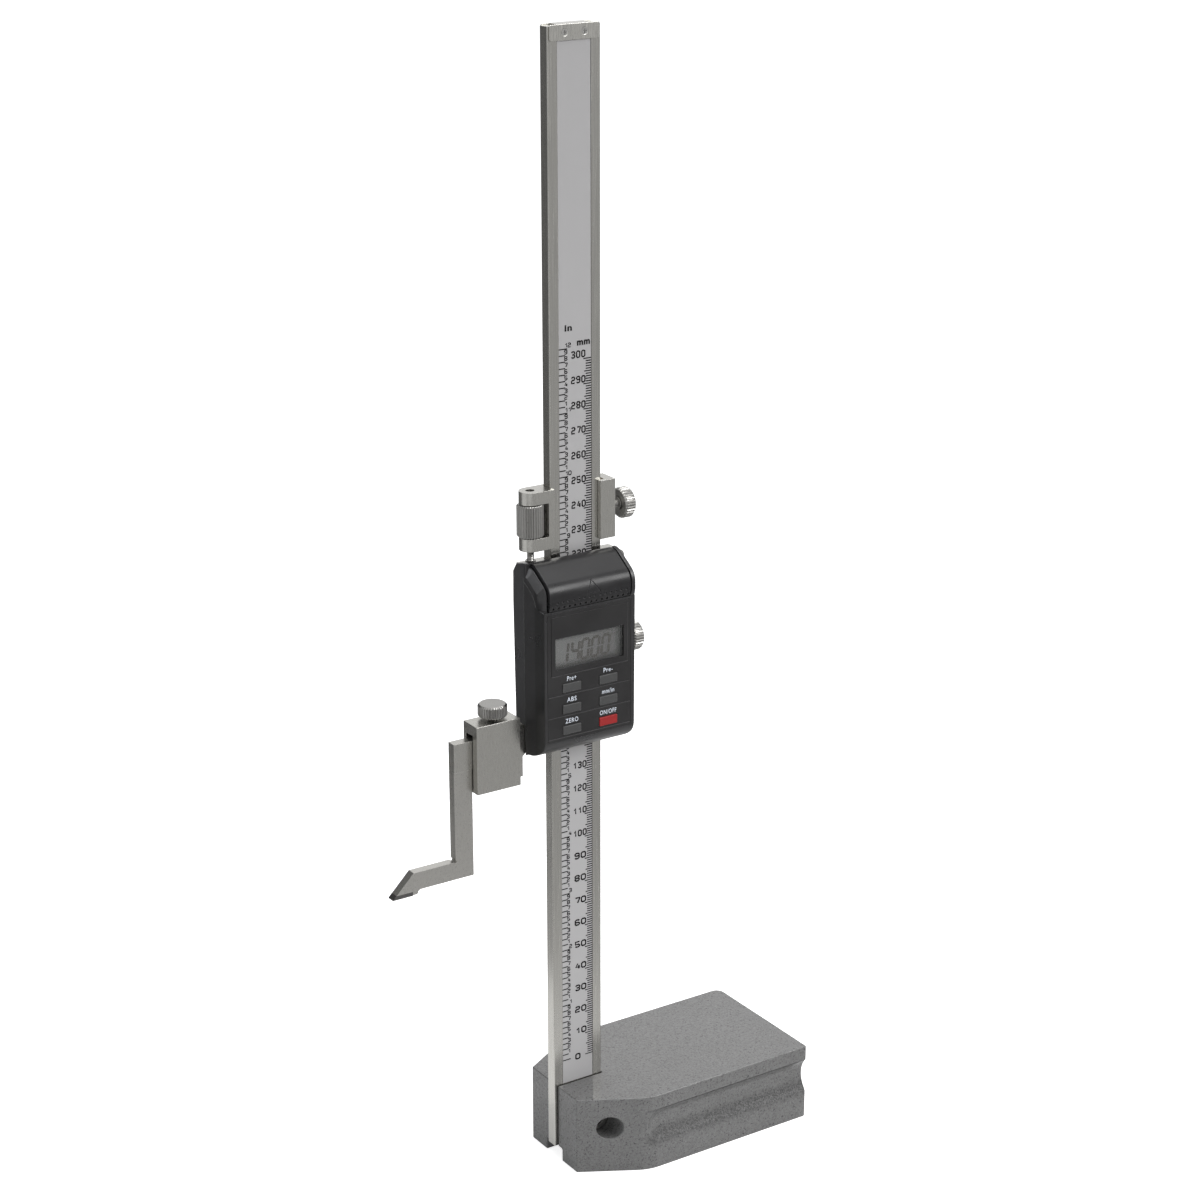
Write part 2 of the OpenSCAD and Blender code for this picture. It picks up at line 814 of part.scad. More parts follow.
module display_housing() {
    color(black_plastic)
        difference() {
            union() {
                difference() {
                    union() {
                        side_outline(house_x0, house_x1)
                            front_section();
                        cheek(house_x0, bay_x0, left_cheek, cheek_bevel);
                        cheek(house_x1, bay_x1, right_cheek, 0.6);
                    }
                    difference() {
                        block([bay_x0, inner_front, house_z + 1.8], [bay_x1, far, bay_z - floor_t]);
                        side_outline(bay_x0 - 1, bay_x1 + 1)
                            polygon([[inner_front - 1, house_z + 9.5], [inner_front + 2.2, house_z + 7.3],
                                     [frame_front - 7, house_z + 4], [frame_front - 3, house_z + 1.8],
                                     [far, house_z + 1.8], [far, house_z], [inner_front - 1, house_z]]);
                        for (x = [boss_left, boss_right])
                            for (z = boss_zs)
                                bar_y(inner_front - 1, plate_front, x, z, boss_d);
                        for (spot = post_spots)
                            bar_y(inner_front - hair, board_front, spot[0], house_z + spot[1], 3);
                    }
                }
                side_skirt();
            }
            block([bay_x0, -far, bay_z], [bay_x1, far, far + arch_top]);
            block([bay_x0, plate_front, house_z + 1.8], [bay_x1, far, bay_z + hair]);
            front_outline(-far, skin)
                panel_shape(0);
            window_box(lens_edge, skin - 1, skin + lens_t);
            window_box(0, skin - 1, far);
            key_openings(run_fit + seat_gap, -far, inner_front + hair);
            for (x = [boss_left, boss_right])
                for (z = boss_zs)
                    bar_y(plate_front - 6, frame_front + 1, x, z, house_screw_d + 2 * run_fit);
            for (spot = post_spots)
                bar_y(board_front - 3, board_front + 1, spot[0], house_z + spot[1],
                      board_screw_d + 2 * run_fit);
        }
}

module housing_back() {
    color(black_plastic)
        difference() {
            block([bay_x0 + run_fit, plate_front, house_z + 1.8 + seat_gap],
                  [bay_x1 - run_fit, frame_front, slider_top + 1.9]);
            for (x = [boss_left, boss_right])
                for (z = boss_zs)
                    bar_y(-far, far, x, z, house_screw_d + 2 * free_gap);
            block([-house_shift - header_w / 2 - free_gap, -far, header_z - free_gap],
                  [-house_shift + header_w / 2 + free_gap, far, header_z + header_h + free_gap]);
        }
}

module housing_screws() {
    color(dark_steel)
        for (x = [boss_left, boss_right])
            for (z = boss_zs)
                difference() {
                    union() {
                        bar_y(plate_front - 5, house_screw_seat + 1, x, z, house_screw_d);
                        bar_y(house_screw_seat, house_screw_seat + 1.3, x, z, house_screw_head);
                    }
                    block([x - 1, house_screw_seat + 0.7, z - 0.2], [x + 1, far, z + 0.2]);
                    block([x - 0.2, house_screw_seat + 0.7, z - 1], [x + 0.2, far, z + 1]);
                }
}

module front_panel() {
    line_w = 0.25;
    line_d = 0.2;
    frame_bottom = window_mid - bezel_low;
    frame_top = bay_z - bezel_drop;
    row_low = house_z + key_z - 3;
    color([0.2, 0.2, 0.21])
        difference() {
            front_outline(house_front, skin)
                panel_shape(-run_fit);
            window_box(0, -far, far);
            key_openings(run_fit + seat_gap, -far, far);
            difference() {
                block([-house_shift - bezel_half, -far, frame_bottom],
                      [-house_shift + bezel_half, house_front + line_d, frame_top]);
                block([-house_shift - bezel_half + line_w, -far, frame_bottom + line_w],
                      [-house_shift + bezel_half - line_w, far, frame_top - line_w]);
            }
            for (row = [0, 1, 2])
                block([bay_x0 - 0.6, -far, row_low + row * key_pitch_z],
                      [bay_x1 + 0.2, house_front + line_d, row_low + row * key_pitch_z + line_w]);
        }
}

module display_lens() {
    color([0.75, 0.8, 0.78, 0.5])
        window_box(lens_edge - run_fit, skin, skin + lens_t - run_fit);
}

module lcd_module() {
    color([0.55, 0.58, 0.56])
        block([-house_shift - glass_w / 2, glass_front, window_mid - glass_h / 2],
              [-house_shift + glass_w / 2, glass_back, window_mid + glass_h / 2]);
}

module contact_strips() {
    color([0.85, 0.7, 0.75])
        for (z = [window_mid - glass_h / 2, window_mid + glass_h / 2 - 1.8])
            block([-house_shift - glass_w / 2 + 1, glass_back, z],
                  [-house_shift + glass_w / 2 - 1, board_front, z + 1.8]);
}

module main_board() {
    color([0.12, 0.35, 0.2])
        difference() {
            block([bay_x0 + 0.6, board_front, house_z + 8.6],
                  [bay_x1 - 0.6, board_back, bay_z - floor_t - 0.8]);
            for (x = [boss_left, boss_right])
                for (z = boss_zs)
                    bar_y(-far, far, x, z, boss_d + 2 * free_gap);
            for (spot = post_spots)
                bar_y(-far, far, spot[0], house_z + spot[1], board_screw_d + 2 * free_gap);
        }
}

module board_screws() {
    color(dark_steel)
        for (spot = post_spots) {
            bar_y(board_front - 2.6, board_back + 0.5, spot[0], house_z + spot[1], board_screw_d);
            bar_y(board_back, board_back + 0.9, spot[0], house_z + spot[1], 2.4);
        }
}

// The reading head faces the scale between the lips of the slider frame
module sensor_board() {
    color([0.12, 0.35, 0.2])
        block([lip_left_x + 0.2, frame_front, slider_z + sensor_end],
              [lip_right_x - 0.2, frame_front + sensor_t, slider_top - sensor_end]);
}

module pin_header() {
    color([0.1, 0.1, 0.1])
        block([-house_shift - header_w / 2, board_back, header_z],
              [-house_shift + header_w / 2, frame_front, header_z + header_h]);
}

// A rubber mat with a dome under each key
module keypad() {
    color([0.5, 0.5, 0.52])
        difference() {
            union() {
                block([-house_shift - 14, board_front - mat_t, house_z + key_z - 3.4],
                      [-house_shift + 14, board_front, house_z + key_z + 2 * key_pitch_z + 3.4]);
                for (x = key_cols)
                    for (z = key_rows)
                        bar_y(dome_front, board_front - mat_t / 2, x, house_z + z, 3);
            }
            for (spot = post_spots)
                bar_y(-far, far, spot[0], house_z + spot[1], 3 + 2 * free_gap);
        }
}

// A key: the cap in its opening, a flange behind the wall and a stem over the dome
module key_cap(column, row, tint) {
    x = key_cols[column];
    z = house_z + key_rows[row];
    stem_y = dome_front - key_travel - seat_gap;
    color(tint) {
        block([x - key_w / 2, house_front - key_proud, z - key_h / 2],
              [x + key_w / 2, key_flange_y + key_flange, z + key_h / 2]);
        block([x - key_w / 2 - key_flange_edge, key_flange_y, z - key_h / 2 - key_flange_edge],
              [x + key_w / 2 + key_flange_edge, key_flange_y + key_flange,
               z + key_h / 2 + key_flange_edge]);
        bar_y(key_flange_y, stem_y, x, z, 2.4);
    }
}

module preset_plus_button() { key_cap(0, 2, key_grey); }
module preset_minus_button() { key_cap(1, 2, key_grey); }
module abs_button() { key_cap(0, 1, key_grey); }
module unit_button() { key_cap(1, 1, key_grey); }
module zero_button() { key_cap(0, 0, key_grey); }
module power_button() { key_cap(1, 0, [0.65, 0.17, 0.17]); }

// Battery lid: the domed cover that slides up between the cheeks
module battery_lid() {
    lid_x0 = bay_x0 + free_gap;
    lid_x1 = bay_x1 - free_gap;
    color(black_plastic)
        intersection() {
            union() {
                difference() {
                    side_outline(lid_x0, lid_x1)
                        arch_section(0);
                    side_outline(lid_x0 - 1, lid_x1 + 1)
                        arch_section(lid_t);
                }
                for (x = [lid_x0, lid_x1 - 1])
                    side_outline(x, x + 1)
                        arch_section(hair);
            }
            block([-far, -far, bay_z + seat_gap], [far, ridge_y - seat_gap, far + arch_top]);
        }
}

module battery_cell() {
    color([0.75, 0.75, 0.75]) {
        bar_y(cell_y, cell_y + cell_t - 0.4, -house_shift, cell_z, cell_d);
        bar_y(cell_y + cell_t - 0.5, cell_y + cell_t, -house_shift, cell_z, cell_d - 2.4);
    }
}

module battery_contact_rear() {
    leaf = 0.3;
    color([0.8, 0.75, 0.5]) {
        block([-house_shift - 5, plate_front - leaf, bay_z + 0.2],
              [-house_shift + 5, plate_front, bay_z + 10]);
        front_outline(plate_front - 0.8, plate_front - leaf)
            translate([-house_shift, cell_z])
                circle(2);
    }
}

module battery_contact_side() {
    leaf = 0.3;
    wall_x = bay_x0 + free_gap + 1 + 0.5;
    rim_x = -house_shift - cell_d / 2 - 0.2;
    color([0.8, 0.75, 0.5]) {
        block([wall_x, cell_y + 0.6, bay_z], [rim_x, cell_y + 4, bay_z + leaf]);
        block([rim_x - leaf, cell_y + 0.6, bay_z], [rim_x, cell_y + 4, cell_z + 2]);
    }
}

// Clamp: a square frame round the jaw and the scriber's shank, closed by its screw
module clamp_box() {
    color(steel)
        difference() {
            block([clamp_x, clamp_window_front - clamp_front, clamp_bottom],
                  [clamp_x + clamp_l, clamp_window_back + clamp_back, clamp_roof]);
            block([-far, clamp_window_front, clamp_floor],
                  [far, clamp_window_back, clamp_window_top]);
            bar_z(clamp_window_top - 1, clamp_roof + 1, clamp_axis_x, clamp_axis_y,
                  clamp_thread_d + 2 * run_fit);
        }
}

module clamp_screw() {
    color(steel) {
        translate([clamp_axis_x, clamp_axis_y, clamp_head_z])
            turned_head(clamp_head_d, clamp_head_t, head_edge);
        bar_z(jaw_z + jaw_h + 2 * seat_gap, clamp_head_z + 1, clamp_axis_x, clamp_axis_y,
              clamp_thread_d);
    }
}

// Scriber: a shank under the jaw, a leg down and a nose with a hard metal tip
module tip_shape(grow) {
    polygon([[nose_left, reading], [nose_left + tip_l + grow, reading],
             [nose_left + tip_l + grow, reading + tip_h + grow],
             [nose_left + (tip_h + grow) / nose_slope, reading + tip_h + grow]]);
}

module scriber() {
    undercut = 0.6;
    top = jaw_z - hair;
    color(steel)
        difference() {
            front_outline(scriber_front, scriber_front + scriber_t)
                difference() {
                    polygon([[leg_left, top], [shank_right, top],
                             [shank_right, jaw_z - shank_h], [leg_right, jaw_z - shank_h],
                             [leg_right, reading + underside_lift],
                             [nose_left + pad_l + 1.4, reading + underside_lift],
                             [nose_left + pad_l + 0.6, reading + underside_lift - 0.5],
                             [nose_left + pad_l, reading + pad_lift],
                             [nose_left + pad_lift / nose_slope, reading + pad_lift],
                             [nose_left + nose_h / nose_slope, reading + nose_h],
                             [leg_left, reading + nose_h]]);
                    tip_shape(hair);
                    translate([leg_left, reading + nose_h])
                        circle(undercut);
                }
        }
}

module carbide_tip() {
    color([0.25, 0.25, 0.26])
        front_outline(scriber_front, scriber_front + scriber_t)
            tip_shape(0);
}

base();
beam();
scale_strip();
end_stop();
end_stop_screws();
beam_clamp_screw();
carriage();
carriage_gib();
carriage_lock_screw();
fine_adjust_nut();
slider_frame();
slider_gib();
gib_screws();
slider_lock_screw();
fine_adjust_screw();
display_housing();
housing_back();
housing_screws();
front_panel();
display_lens();
lcd_module();
contact_strips();
main_board();
board_screws();
sensor_board();
pin_header();
keypad();
preset_plus_button();
preset_minus_button();
abs_button();
unit_button();
zero_button();
power_button();
battery_lid();
battery_cell();
battery_contact_rear();
battery_contact_side();
clamp_box();
clamp_screw();
scriber();
carbide_tip();
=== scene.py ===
# %% [markdown]
# # A digital height gauge
# A cast foot carries a flat steel column with a printed scale. A slider with a
# display and a long jaw runs on the column, a clamp holds a scriber under the jaw,
# and a small carriage above moves the slider in fine steps.
# The CAD model arrives as a fixed frame, so every piece already has its place and
# its size. This lesson dresses that frame: it rounds edges, cuts knurls, prints the
# scale and gives each surface its finish.

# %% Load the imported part
import json
import math
import bpy
from mathutils import Matrix, Vector

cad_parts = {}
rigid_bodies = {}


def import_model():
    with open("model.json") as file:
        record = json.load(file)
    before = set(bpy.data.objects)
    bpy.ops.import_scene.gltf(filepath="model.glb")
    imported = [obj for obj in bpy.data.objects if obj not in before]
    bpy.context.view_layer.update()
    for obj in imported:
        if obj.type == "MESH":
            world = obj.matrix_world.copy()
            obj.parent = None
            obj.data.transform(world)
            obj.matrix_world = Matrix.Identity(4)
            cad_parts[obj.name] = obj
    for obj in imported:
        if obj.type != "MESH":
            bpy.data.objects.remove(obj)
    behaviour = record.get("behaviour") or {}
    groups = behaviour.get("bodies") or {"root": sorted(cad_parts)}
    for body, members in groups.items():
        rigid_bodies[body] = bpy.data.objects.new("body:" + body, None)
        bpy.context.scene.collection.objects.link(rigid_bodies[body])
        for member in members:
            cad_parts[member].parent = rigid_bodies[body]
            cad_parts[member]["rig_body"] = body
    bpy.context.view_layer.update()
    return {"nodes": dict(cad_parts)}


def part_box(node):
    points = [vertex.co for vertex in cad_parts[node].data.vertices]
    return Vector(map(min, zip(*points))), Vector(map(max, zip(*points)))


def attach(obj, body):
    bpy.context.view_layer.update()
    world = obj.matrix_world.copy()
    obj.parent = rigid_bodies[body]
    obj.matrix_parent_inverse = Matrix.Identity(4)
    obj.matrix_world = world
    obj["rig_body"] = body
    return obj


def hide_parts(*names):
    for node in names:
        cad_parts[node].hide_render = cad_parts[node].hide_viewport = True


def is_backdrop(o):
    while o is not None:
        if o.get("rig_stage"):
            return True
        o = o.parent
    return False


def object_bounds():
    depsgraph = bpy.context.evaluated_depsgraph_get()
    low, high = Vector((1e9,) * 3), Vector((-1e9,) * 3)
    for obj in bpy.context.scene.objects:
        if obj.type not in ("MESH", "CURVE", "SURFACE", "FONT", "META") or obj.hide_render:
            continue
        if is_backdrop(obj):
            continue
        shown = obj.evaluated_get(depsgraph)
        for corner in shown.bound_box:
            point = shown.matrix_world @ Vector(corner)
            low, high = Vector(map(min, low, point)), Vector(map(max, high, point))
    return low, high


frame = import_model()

MM = 0.001
nodes = frame["nodes"]

# %% [markdown]
# ## The camera
# A product photograph of something tall is taken with a long lens from some way off,
# so that upright edges stay upright. The camera stands to the front left, above the
# display. A small shift of the film, as on a view camera, centres the picture
# without tilting the lens.

# %% Place the camera
camera_data = bpy.data.cameras.new("camera")
camera_data.lens = 80.584
camera_data.sensor_width = 36
camera_data.shift_x = 0.00498
camera_data.shift_y = 0.02195
camera = bpy.data.objects.new("camera", camera_data)
camera.location = (-0.54635, -0.84678, 0.59053)
camera.rotation_euler = [math.radians(a) for a in (70.6170, 0.0857, -33.3438)]
bpy.context.scene.collection.objects.link(camera)
bpy.context.scene.camera = camera
print("camera distance in mm:", round(camera.location.length / MM))

# %% [markdown]
# ## Helpers for materials
# A material here is a Principled shader whose colour, roughness and bump come from
# procedural patterns. Object coordinates are in metres and stay fixed to a piece, so
# a pattern keeps its real scale. Each helper adds a node and wires it in one call: a
# value may be a number, a colour or another node's output.

# %% Building blocks for materials
def feed(socket, value):
    """Links an output to a socket, or sets the socket to a number or a colour."""
    if isinstance(value, bpy.types.NodeSocket):
        socket.id_data.links.new(value, socket)
    elif socket.type == "RGBA" and len(value) == 3:
        socket.default_value = (*value, 1)
    else:
        socket.default_value = value


def add_node(tree, kind, values=None, **settings):
    made = tree.nodes.new(kind)
    for key, value in settings.items():
        setattr(made, key, value)
    for key, value in (values or {}).items():
        feed(made.inputs[key], value)
    return made


def calc(operation, first, second=0.5):
    return add_node(first.id_data, "ShaderNodeMath", {0: first, 1: second},
                    operation=operation).outputs[0]


def product(first, *others):
    for other in others:
        first = calc("MULTIPLY", first, other)
    return first


def map_range(value, low, high, new_low=0.0, new_high=1.0):
    return add_node(value.id_data, "ShaderNodeMapRange",
                    {0: value, 1: low, 2: high, 3: new_low, 4: new_high}).outputs[0]


def mix_colors(factor, first, second):
    return add_node(factor.id_data, "ShaderNodeMix", {0: factor, 6: first, 7: second},
                    data_type="RGBA").outputs[2]


def fade(value, low, high, first, second, amount=1.0):
    """The first colour, with more of the second as the value goes from low to high."""
    return mix_colors(map_range(value, low, high, 0.0, amount), first, second)


def bump(shader, height, strength, distance):
    feed(shader.inputs["Normal"],
         add_node(height.id_data, "ShaderNodeBump",
                  {"Strength": strength, "Distance": distance, "Height": height}).outputs[0])


def object_place(tree):
    return add_node(tree, "ShaderNodeTexCoord").outputs["Object"]


def object_xyz(tree):
    return add_node(tree, "ShaderNodeSeparateXYZ", {0: object_place(tree)}).outputs


def new_material(name, metallic, roughness, color=(0.5, 0.5, 0.5)):
    material = bpy.data.materials.new(name)
    material.use_nodes = True
    tree = material.node_tree
    shader = tree.nodes["Principled BSDF"]
    shader.inputs["Metallic"].default_value = metallic
    shader.inputs["Roughness"].default_value = roughness
    shader.inputs["Base Color"].default_value = (*color, 1)
    return material, tree, shader


# %% [markdown]
# ## A pale studio
# Metal shows whatever stands round it, so a studio for steel is a white tent. The
# world is plain white to the camera and to mirror-like rays, and dimmer to the rays
# that light matt surfaces. A large soft lamp at the front right leaves the sides
# that face left darker and gives the shapes their depth, and a weaker one hangs
# above.

# %% Light the scene
def area_lamp(name, place, target, size, power):
    data = bpy.data.lights.new(name, "AREA")
    data.shape = "SQUARE"
    data.size = size
    data.energy = power
    lamp = bpy.data.objects.new(name, data)
    lamp.location = place
    lamp.rotation_euler = (Vector(target) - Vector(place)).to_track_quat("-Z", "Y").to_euler()
    bpy.context.scene.collection.objects.link(lamp)


middle = (0.0, 0.0, 0.22)
area_lamp("key_lamp", (1.2, -2.0, 1.708), middle, 1.44, 51)
area_lamp("top_lamp", (0.1, 0.1, 1.6), middle, 1.0, 12)

bpy.context.scene.view_settings.view_transform = "Standard"
world = bpy.data.worlds.new("studio")
world.use_nodes = True
bpy.context.scene.world = world
tree = world.node_tree
tree.nodes.clear()
rays = add_node(tree, "ShaderNodeLightPath").outputs
sees_white = calc("MAXIMUM", rays["Is Camera Ray"],
                  calc("MAXIMUM", rays["Is Glossy Ray"], rays["Is Transmission Ray"]))
ambient = add_node(tree, "ShaderNodeBackground",
                   {"Color": (0.96, 0.98, 1.0, 1), "Strength": 0.42}).outputs[0]
white = add_node(tree, "ShaderNodeBackground",
                 {"Color": (1, 1, 1, 1), "Strength": 1.0}).outputs[0]
mixed = add_node(tree, "ShaderNodeMixShader", {0: sees_white, 1: ambient, 2: white})
add_node(tree, "ShaderNodeOutputWorld", {0: mixed.outputs[0]})
print("lamps:", len(bpy.data.lights))

# %% [markdown]
# ## Helpers for the mesh work
# An operator acts on what is selected, so every step first deselects everything and
# then picks its own faces or edges by their place. These few helpers keep that in
# one spot. A rounded copy is the mesh of a CAD node with its triangles merged into
# plain faces and its sharp edges bevelled, because no real edge is perfectly sharp
# and the narrow bevel is what catches the light.

# %% Selecting and shaping
def leave_edit():
    bpy.ops.object.mode_set(mode="OBJECT")


def put_down():
    """Leaves edit mode and deselects every object."""
    if bpy.context.mode != "OBJECT":
        leave_edit()
    bpy.ops.object.select_all(action="DESELECT")


def pick(piece):
    put_down()
    piece.select_set(True)
    bpy.context.view_layer.objects.active = piece


def new_object(name, data):
    made = bpy.data.objects.new(name, data)
    bpy.context.scene.collection.objects.link(made)
    return made


def apply(piece, kind, **settings):
    pick(piece)
    modifier = piece.modifiers.new("shape", kind)
    for key, value in settings.items():
        setattr(modifier, key, value)
    bpy.ops.object.modifier_apply(modifier=modifier.name)


def open_whole(piece):
    """Opens a piece for editing with everything selected."""
    pick(piece)
    bpy.ops.object.mode_set(mode="EDIT")
    bpy.ops.mesh.select_all(action="SELECT")


def choose(piece, part, test):
    """Selects the faces or edges of a piece for which test is true, and opens it for editing."""
    pick(piece)
    bpy.ops.object.mode_set(mode="EDIT")
    bpy.ops.mesh.select_all(action="DESELECT")
    bpy.ops.mesh.select_mode(type="FACE" if part == "polygons" else "EDGE")
    leave_edit()
    points = piece.data.vertices
    for item in getattr(piece.data, part):
        places = [points[i].co for i in item.vertices]
        item.select = bool(test(item, places))
    bpy.ops.object.mode_set(mode="EDIT")


def extrude(rise):
    bpy.ops.mesh.extrude_region_move(TRANSFORM_OT_translate={"value": (0, 0, rise)})


def resize(x, y, center=(0, 0, 0)):
    bpy.ops.transform.resize(value=(x, y, 1), center_override=center)


def face_outwards():
    """Turns every face of the open piece outwards."""
    bpy.ops.mesh.select_all(action="SELECT")
    bpy.ops.mesh.normals_make_consistent(inside=False)


def shift(piece, x, y, z):
    """Moves a mesh by millimetres."""
    piece.data.transform(Matrix.Translation((x * MM, y * MM, z * MM)))


def join(pieces, name):
    put_down()
    for piece in pieces:
        piece.select_set(True)
    bpy.context.view_layer.objects.active = pieces[0]
    bpy.ops.object.join()
    joined = bpy.context.active_object
    joined.name = name
    return joined


def finish_shading(piece, angle=40):
    pick(piece)
    bpy.ops.object.shade_smooth_by_angle(angle=math.radians(angle))
    apply(piece, "WEIGHTED_NORMAL", weight=50, keep_sharp=True)


def bevel(piece, width, segments, angle):
    apply(piece, "BEVEL", width=width * MM, segments=segments, limit_method="ANGLE",
          angle_limit=math.radians(angle), use_clamp_overlap=False, miter_outer="MITER_ARC")


def plain_copy(node, name, merge=True):
    piece = new_object(name, nodes[node].data.copy())
    piece.data.materials.clear()
    open_whole(piece)
    bpy.ops.mesh.customdata_custom_splitnormals_clear()
    bpy.ops.mesh.remove_doubles(threshold=2e-6)
    if merge:
        bpy.ops.mesh.dissolve_limited(angle_limit=math.radians(0.8))
    leave_edit()
    return piece


def rounded_copy(node, name, width, segments=2, angle=30, merge=True):
    piece = plain_copy(node, name, merge)
    bevel(piece, width, segments, angle)
    finish_shading(piece)
    return piece


def box_mm(node):
    """The low corner, the high corner and the middle of a CAD node, in mm."""
    low, high = ([v / MM for v in corner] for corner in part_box(node))
    return low, high, [(a + b) / 2 for a, b in zip(low, high)]


def dress(piece, material, slot, *replaced, body=None):
    """Gives a piece its material and body, and hides the CAD nodes that it stands for; the slot
    is not used.
    """
    piece.data.materials.clear()
    piece.data.materials.append(material)
    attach(piece, body or nodes[replaced[0]]["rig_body"])
    if replaced:
        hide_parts(*replaced)
    print(piece.name, "faces", len(piece.data.polygons))
    return piece


# %% [markdown]
# ### Four shared effects
# *Grain* is noise pulled out along one axis, the way a grinding wheel or a brush
# leaves fine lines. *Edge* compares the true normal with one that is rounded off
# over a small radius: they differ only close to an edge, where handling polishes a
# surface, where some materials lay a painted highlight and where the foot gets a
# painted dark line. *Mottle* is plain noise at two scales for dust and uneven tone.
# *Cavity shade* is high deep inside grooves, where it lays painted shade. Each is a
# node group, because several materials share it.

# %% Build the shared groups
def new_group(name, inputs, outputs):
    group = bpy.data.node_groups.new(name, "ShaderNodeTree")
    for label, kind, value in inputs:
        group.interface.new_socket(label, in_out="INPUT", socket_type=kind).default_value = value
    for label in outputs:
        group.interface.new_socket(label, in_out="OUTPUT", socket_type="NodeSocketFloat")
    given = group.nodes.new("NodeGroupInput").outputs
    return group, given, group.nodes.new("NodeGroupOutput").inputs


def use_group(tree, group, **values):
    made = tree.nodes.new("ShaderNodeGroup")
    made.node_tree = group
    for key, value in values.items():
        made.inputs[key].default_value = value
    return made.outputs


grain, given, wanted = new_group(
    "ground_grain",
    [("Stretch", "NodeSocketVector", (2500.0, 2500.0, 60.0)), ("Detail", "NodeSocketFloat", 3.0)],
    ["Streaks"])
pulled = add_node(grain, "ShaderNodeVectorMath", {0: object_place(grain), 1: given["Stretch"]},
                  operation="MULTIPLY")
lines = add_node(grain, "ShaderNodeTexNoise", {"Vector": pulled.outputs[0], "Scale": 1.0,
                                               "Detail": given["Detail"], "Roughness": 0.6})
feed(wanted["Streaks"], lines.outputs["Fac"])

# edge mask: paler edges for wear and as painted highlight, and the foot's painted dark edge line
edge, given, wanted = new_group(
    "edge_wear_and_painted_light",
    [("Radius", "NodeSocketFloat", 0.0004), ("Patchiness", "NodeSocketFloat", 900.0)], ["Edge"])
soft = add_node(edge, "ShaderNodeBevel", {"Radius": given["Radius"]}, samples=4)
true = add_node(edge, "ShaderNodeNewGeometry")
turn = add_node(edge, "ShaderNodeVectorMath", {0: soft.outputs[0], 1: true.outputs["Normal"]},
                operation="DOT_PRODUCT")
patches = add_node(edge, "ShaderNodeTexNoise", {"Vector": object_place(edge), "Detail": 2.0,
                                                "Scale": given["Patchiness"]})
feed(wanted["Edge"], product(map_range(turn.outputs["Value"], 0.985, 0.8),
                             map_range(patches.outputs["Fac"], 0.3, 0.7, 0.25)))

mottle, given, wanted = new_group(
    "mottle", [("Coarse", "NodeSocketFloat", 40.0), ("Fine", "NodeSocketFloat", 1500.0)],
    ["Tone", "Speck"])
for scale, target in (("Coarse", "Tone"), ("Fine", "Speck")):
    noise = add_node(mottle, "ShaderNodeTexNoise",
                     {"Vector": object_place(mottle), "Scale": given[scale], "Detail": 3.0})
    feed(wanted[target], noise.outputs["Fac"])

# cavity shade: ambient occlusion paints shade deep inside grooves
cavity_shade, given, wanted = new_group("cavity_shade", [("Distance", "NodeSocketFloat", 0.0005)], ["Dirt"])
closed = add_node(cavity_shade, "ShaderNodeAmbientOcclusion", {"Distance": given["Distance"]},
                  samples=8, only_local=True)
feed(wanted["Dirt"], map_range(closed.outputs["AO"], 0.9, 0.45))
print("groups:", [group.name for group in bpy.data.node_groups])

# %% [markdown]
# ### What the steel mirrors
# Ground steel is a blurred mirror, so its tone is the tone of what it faces. Four
# sheets stand for that. Faces that look left mirror the dark one behind the gauge,
# faces that look to the front mirror the grey one at the front right, and two more
# stand at the back right and the front left. Only mirror-like rays see them, so
# they cast no shadow and don't show in the picture.

# %% Reflection cards
def card(name, near, far, height, width, toward, tones):
    """A sheet on the floor from near to far in one direction, which then stands up."""
    put_down()
    bpy.ops.mesh.primitive_plane_add(size=1.0)
    sheet = bpy.context.active_object
    sheet.name = name
    sheet.data.transform(Matrix.Translation(((near + far) / 2, 0, 0.0005))
                         @ Matrix.Diagonal((far - near, width, 1, 1)))
    choose(sheet, "edges", lambda e, p: all(v.x > far - 0.01 for v in p))
    extrude(height)
    leave_edit()
    material = bpy.data.materials.new(name)
    material.use_nodes = True
    tree = material.node_tree
    tree.nodes.clear()
    turned = math.radians(toward)
    distance = add_node(tree, "ShaderNodeVectorMath",
                        {0: object_place(tree), 1: (math.cos(turned), math.sin(turned), 0)},
                        operation="DOT_PRODUCT")
    ramp = add_node(tree, "ShaderNodeValToRGB", {0: distance.outputs["Value"]})
    while len(ramp.color_ramp.elements) < len(tones):
        ramp.color_ramp.elements.new(0.5)
    for element, (position, tone) in zip(ramp.color_ramp.elements, tones):
        element.position = position
        element.color = (tone, tone, tone, 1)
    glow = add_node(tree, "ShaderNodeEmission", {"Color": ramp.outputs[0], "Strength": 1.0})
    clear = add_node(tree, "ShaderNodeBsdfTransparent")
    rays = add_node(tree, "ShaderNodeLightPath")
    both = add_node(tree, "ShaderNodeMixShader", {0: rays.outputs["Is Glossy Ray"],
                                                  1: clear.outputs[0], 2: glow.outputs[0]})
    add_node(tree, "ShaderNodeOutputMaterial", {0: both.outputs[0]})
    sheet.data.materials.append(material)
    sheet.data.transform(Matrix.Rotation(turned, 4, "Z"))
    sheet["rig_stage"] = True
    print(name, "toward", toward)


card("dark_card", 0.05, 0.42, 0.7, 0.5, 122.3,
     [(0.166, 1.15), (0.18, 0.54), (0.29, 0.49), (0.315, 0.17)])
card("grey_card", 0.085, 0.9, 0.6, 1.8, -57.7, [(0.09, 0.92), (0.2, 0.64), (0.32, 0.51)])
card("back_card", 0.14, 0.5, 0.12, 0.9, 57.7, [(0.15, 0.9), (0.3, 0.4)])
card("side_card", 0.1, 0.9, 0.6, 0.25, -147.7, [(0.11, 0.8), (0.25, 0.5)])
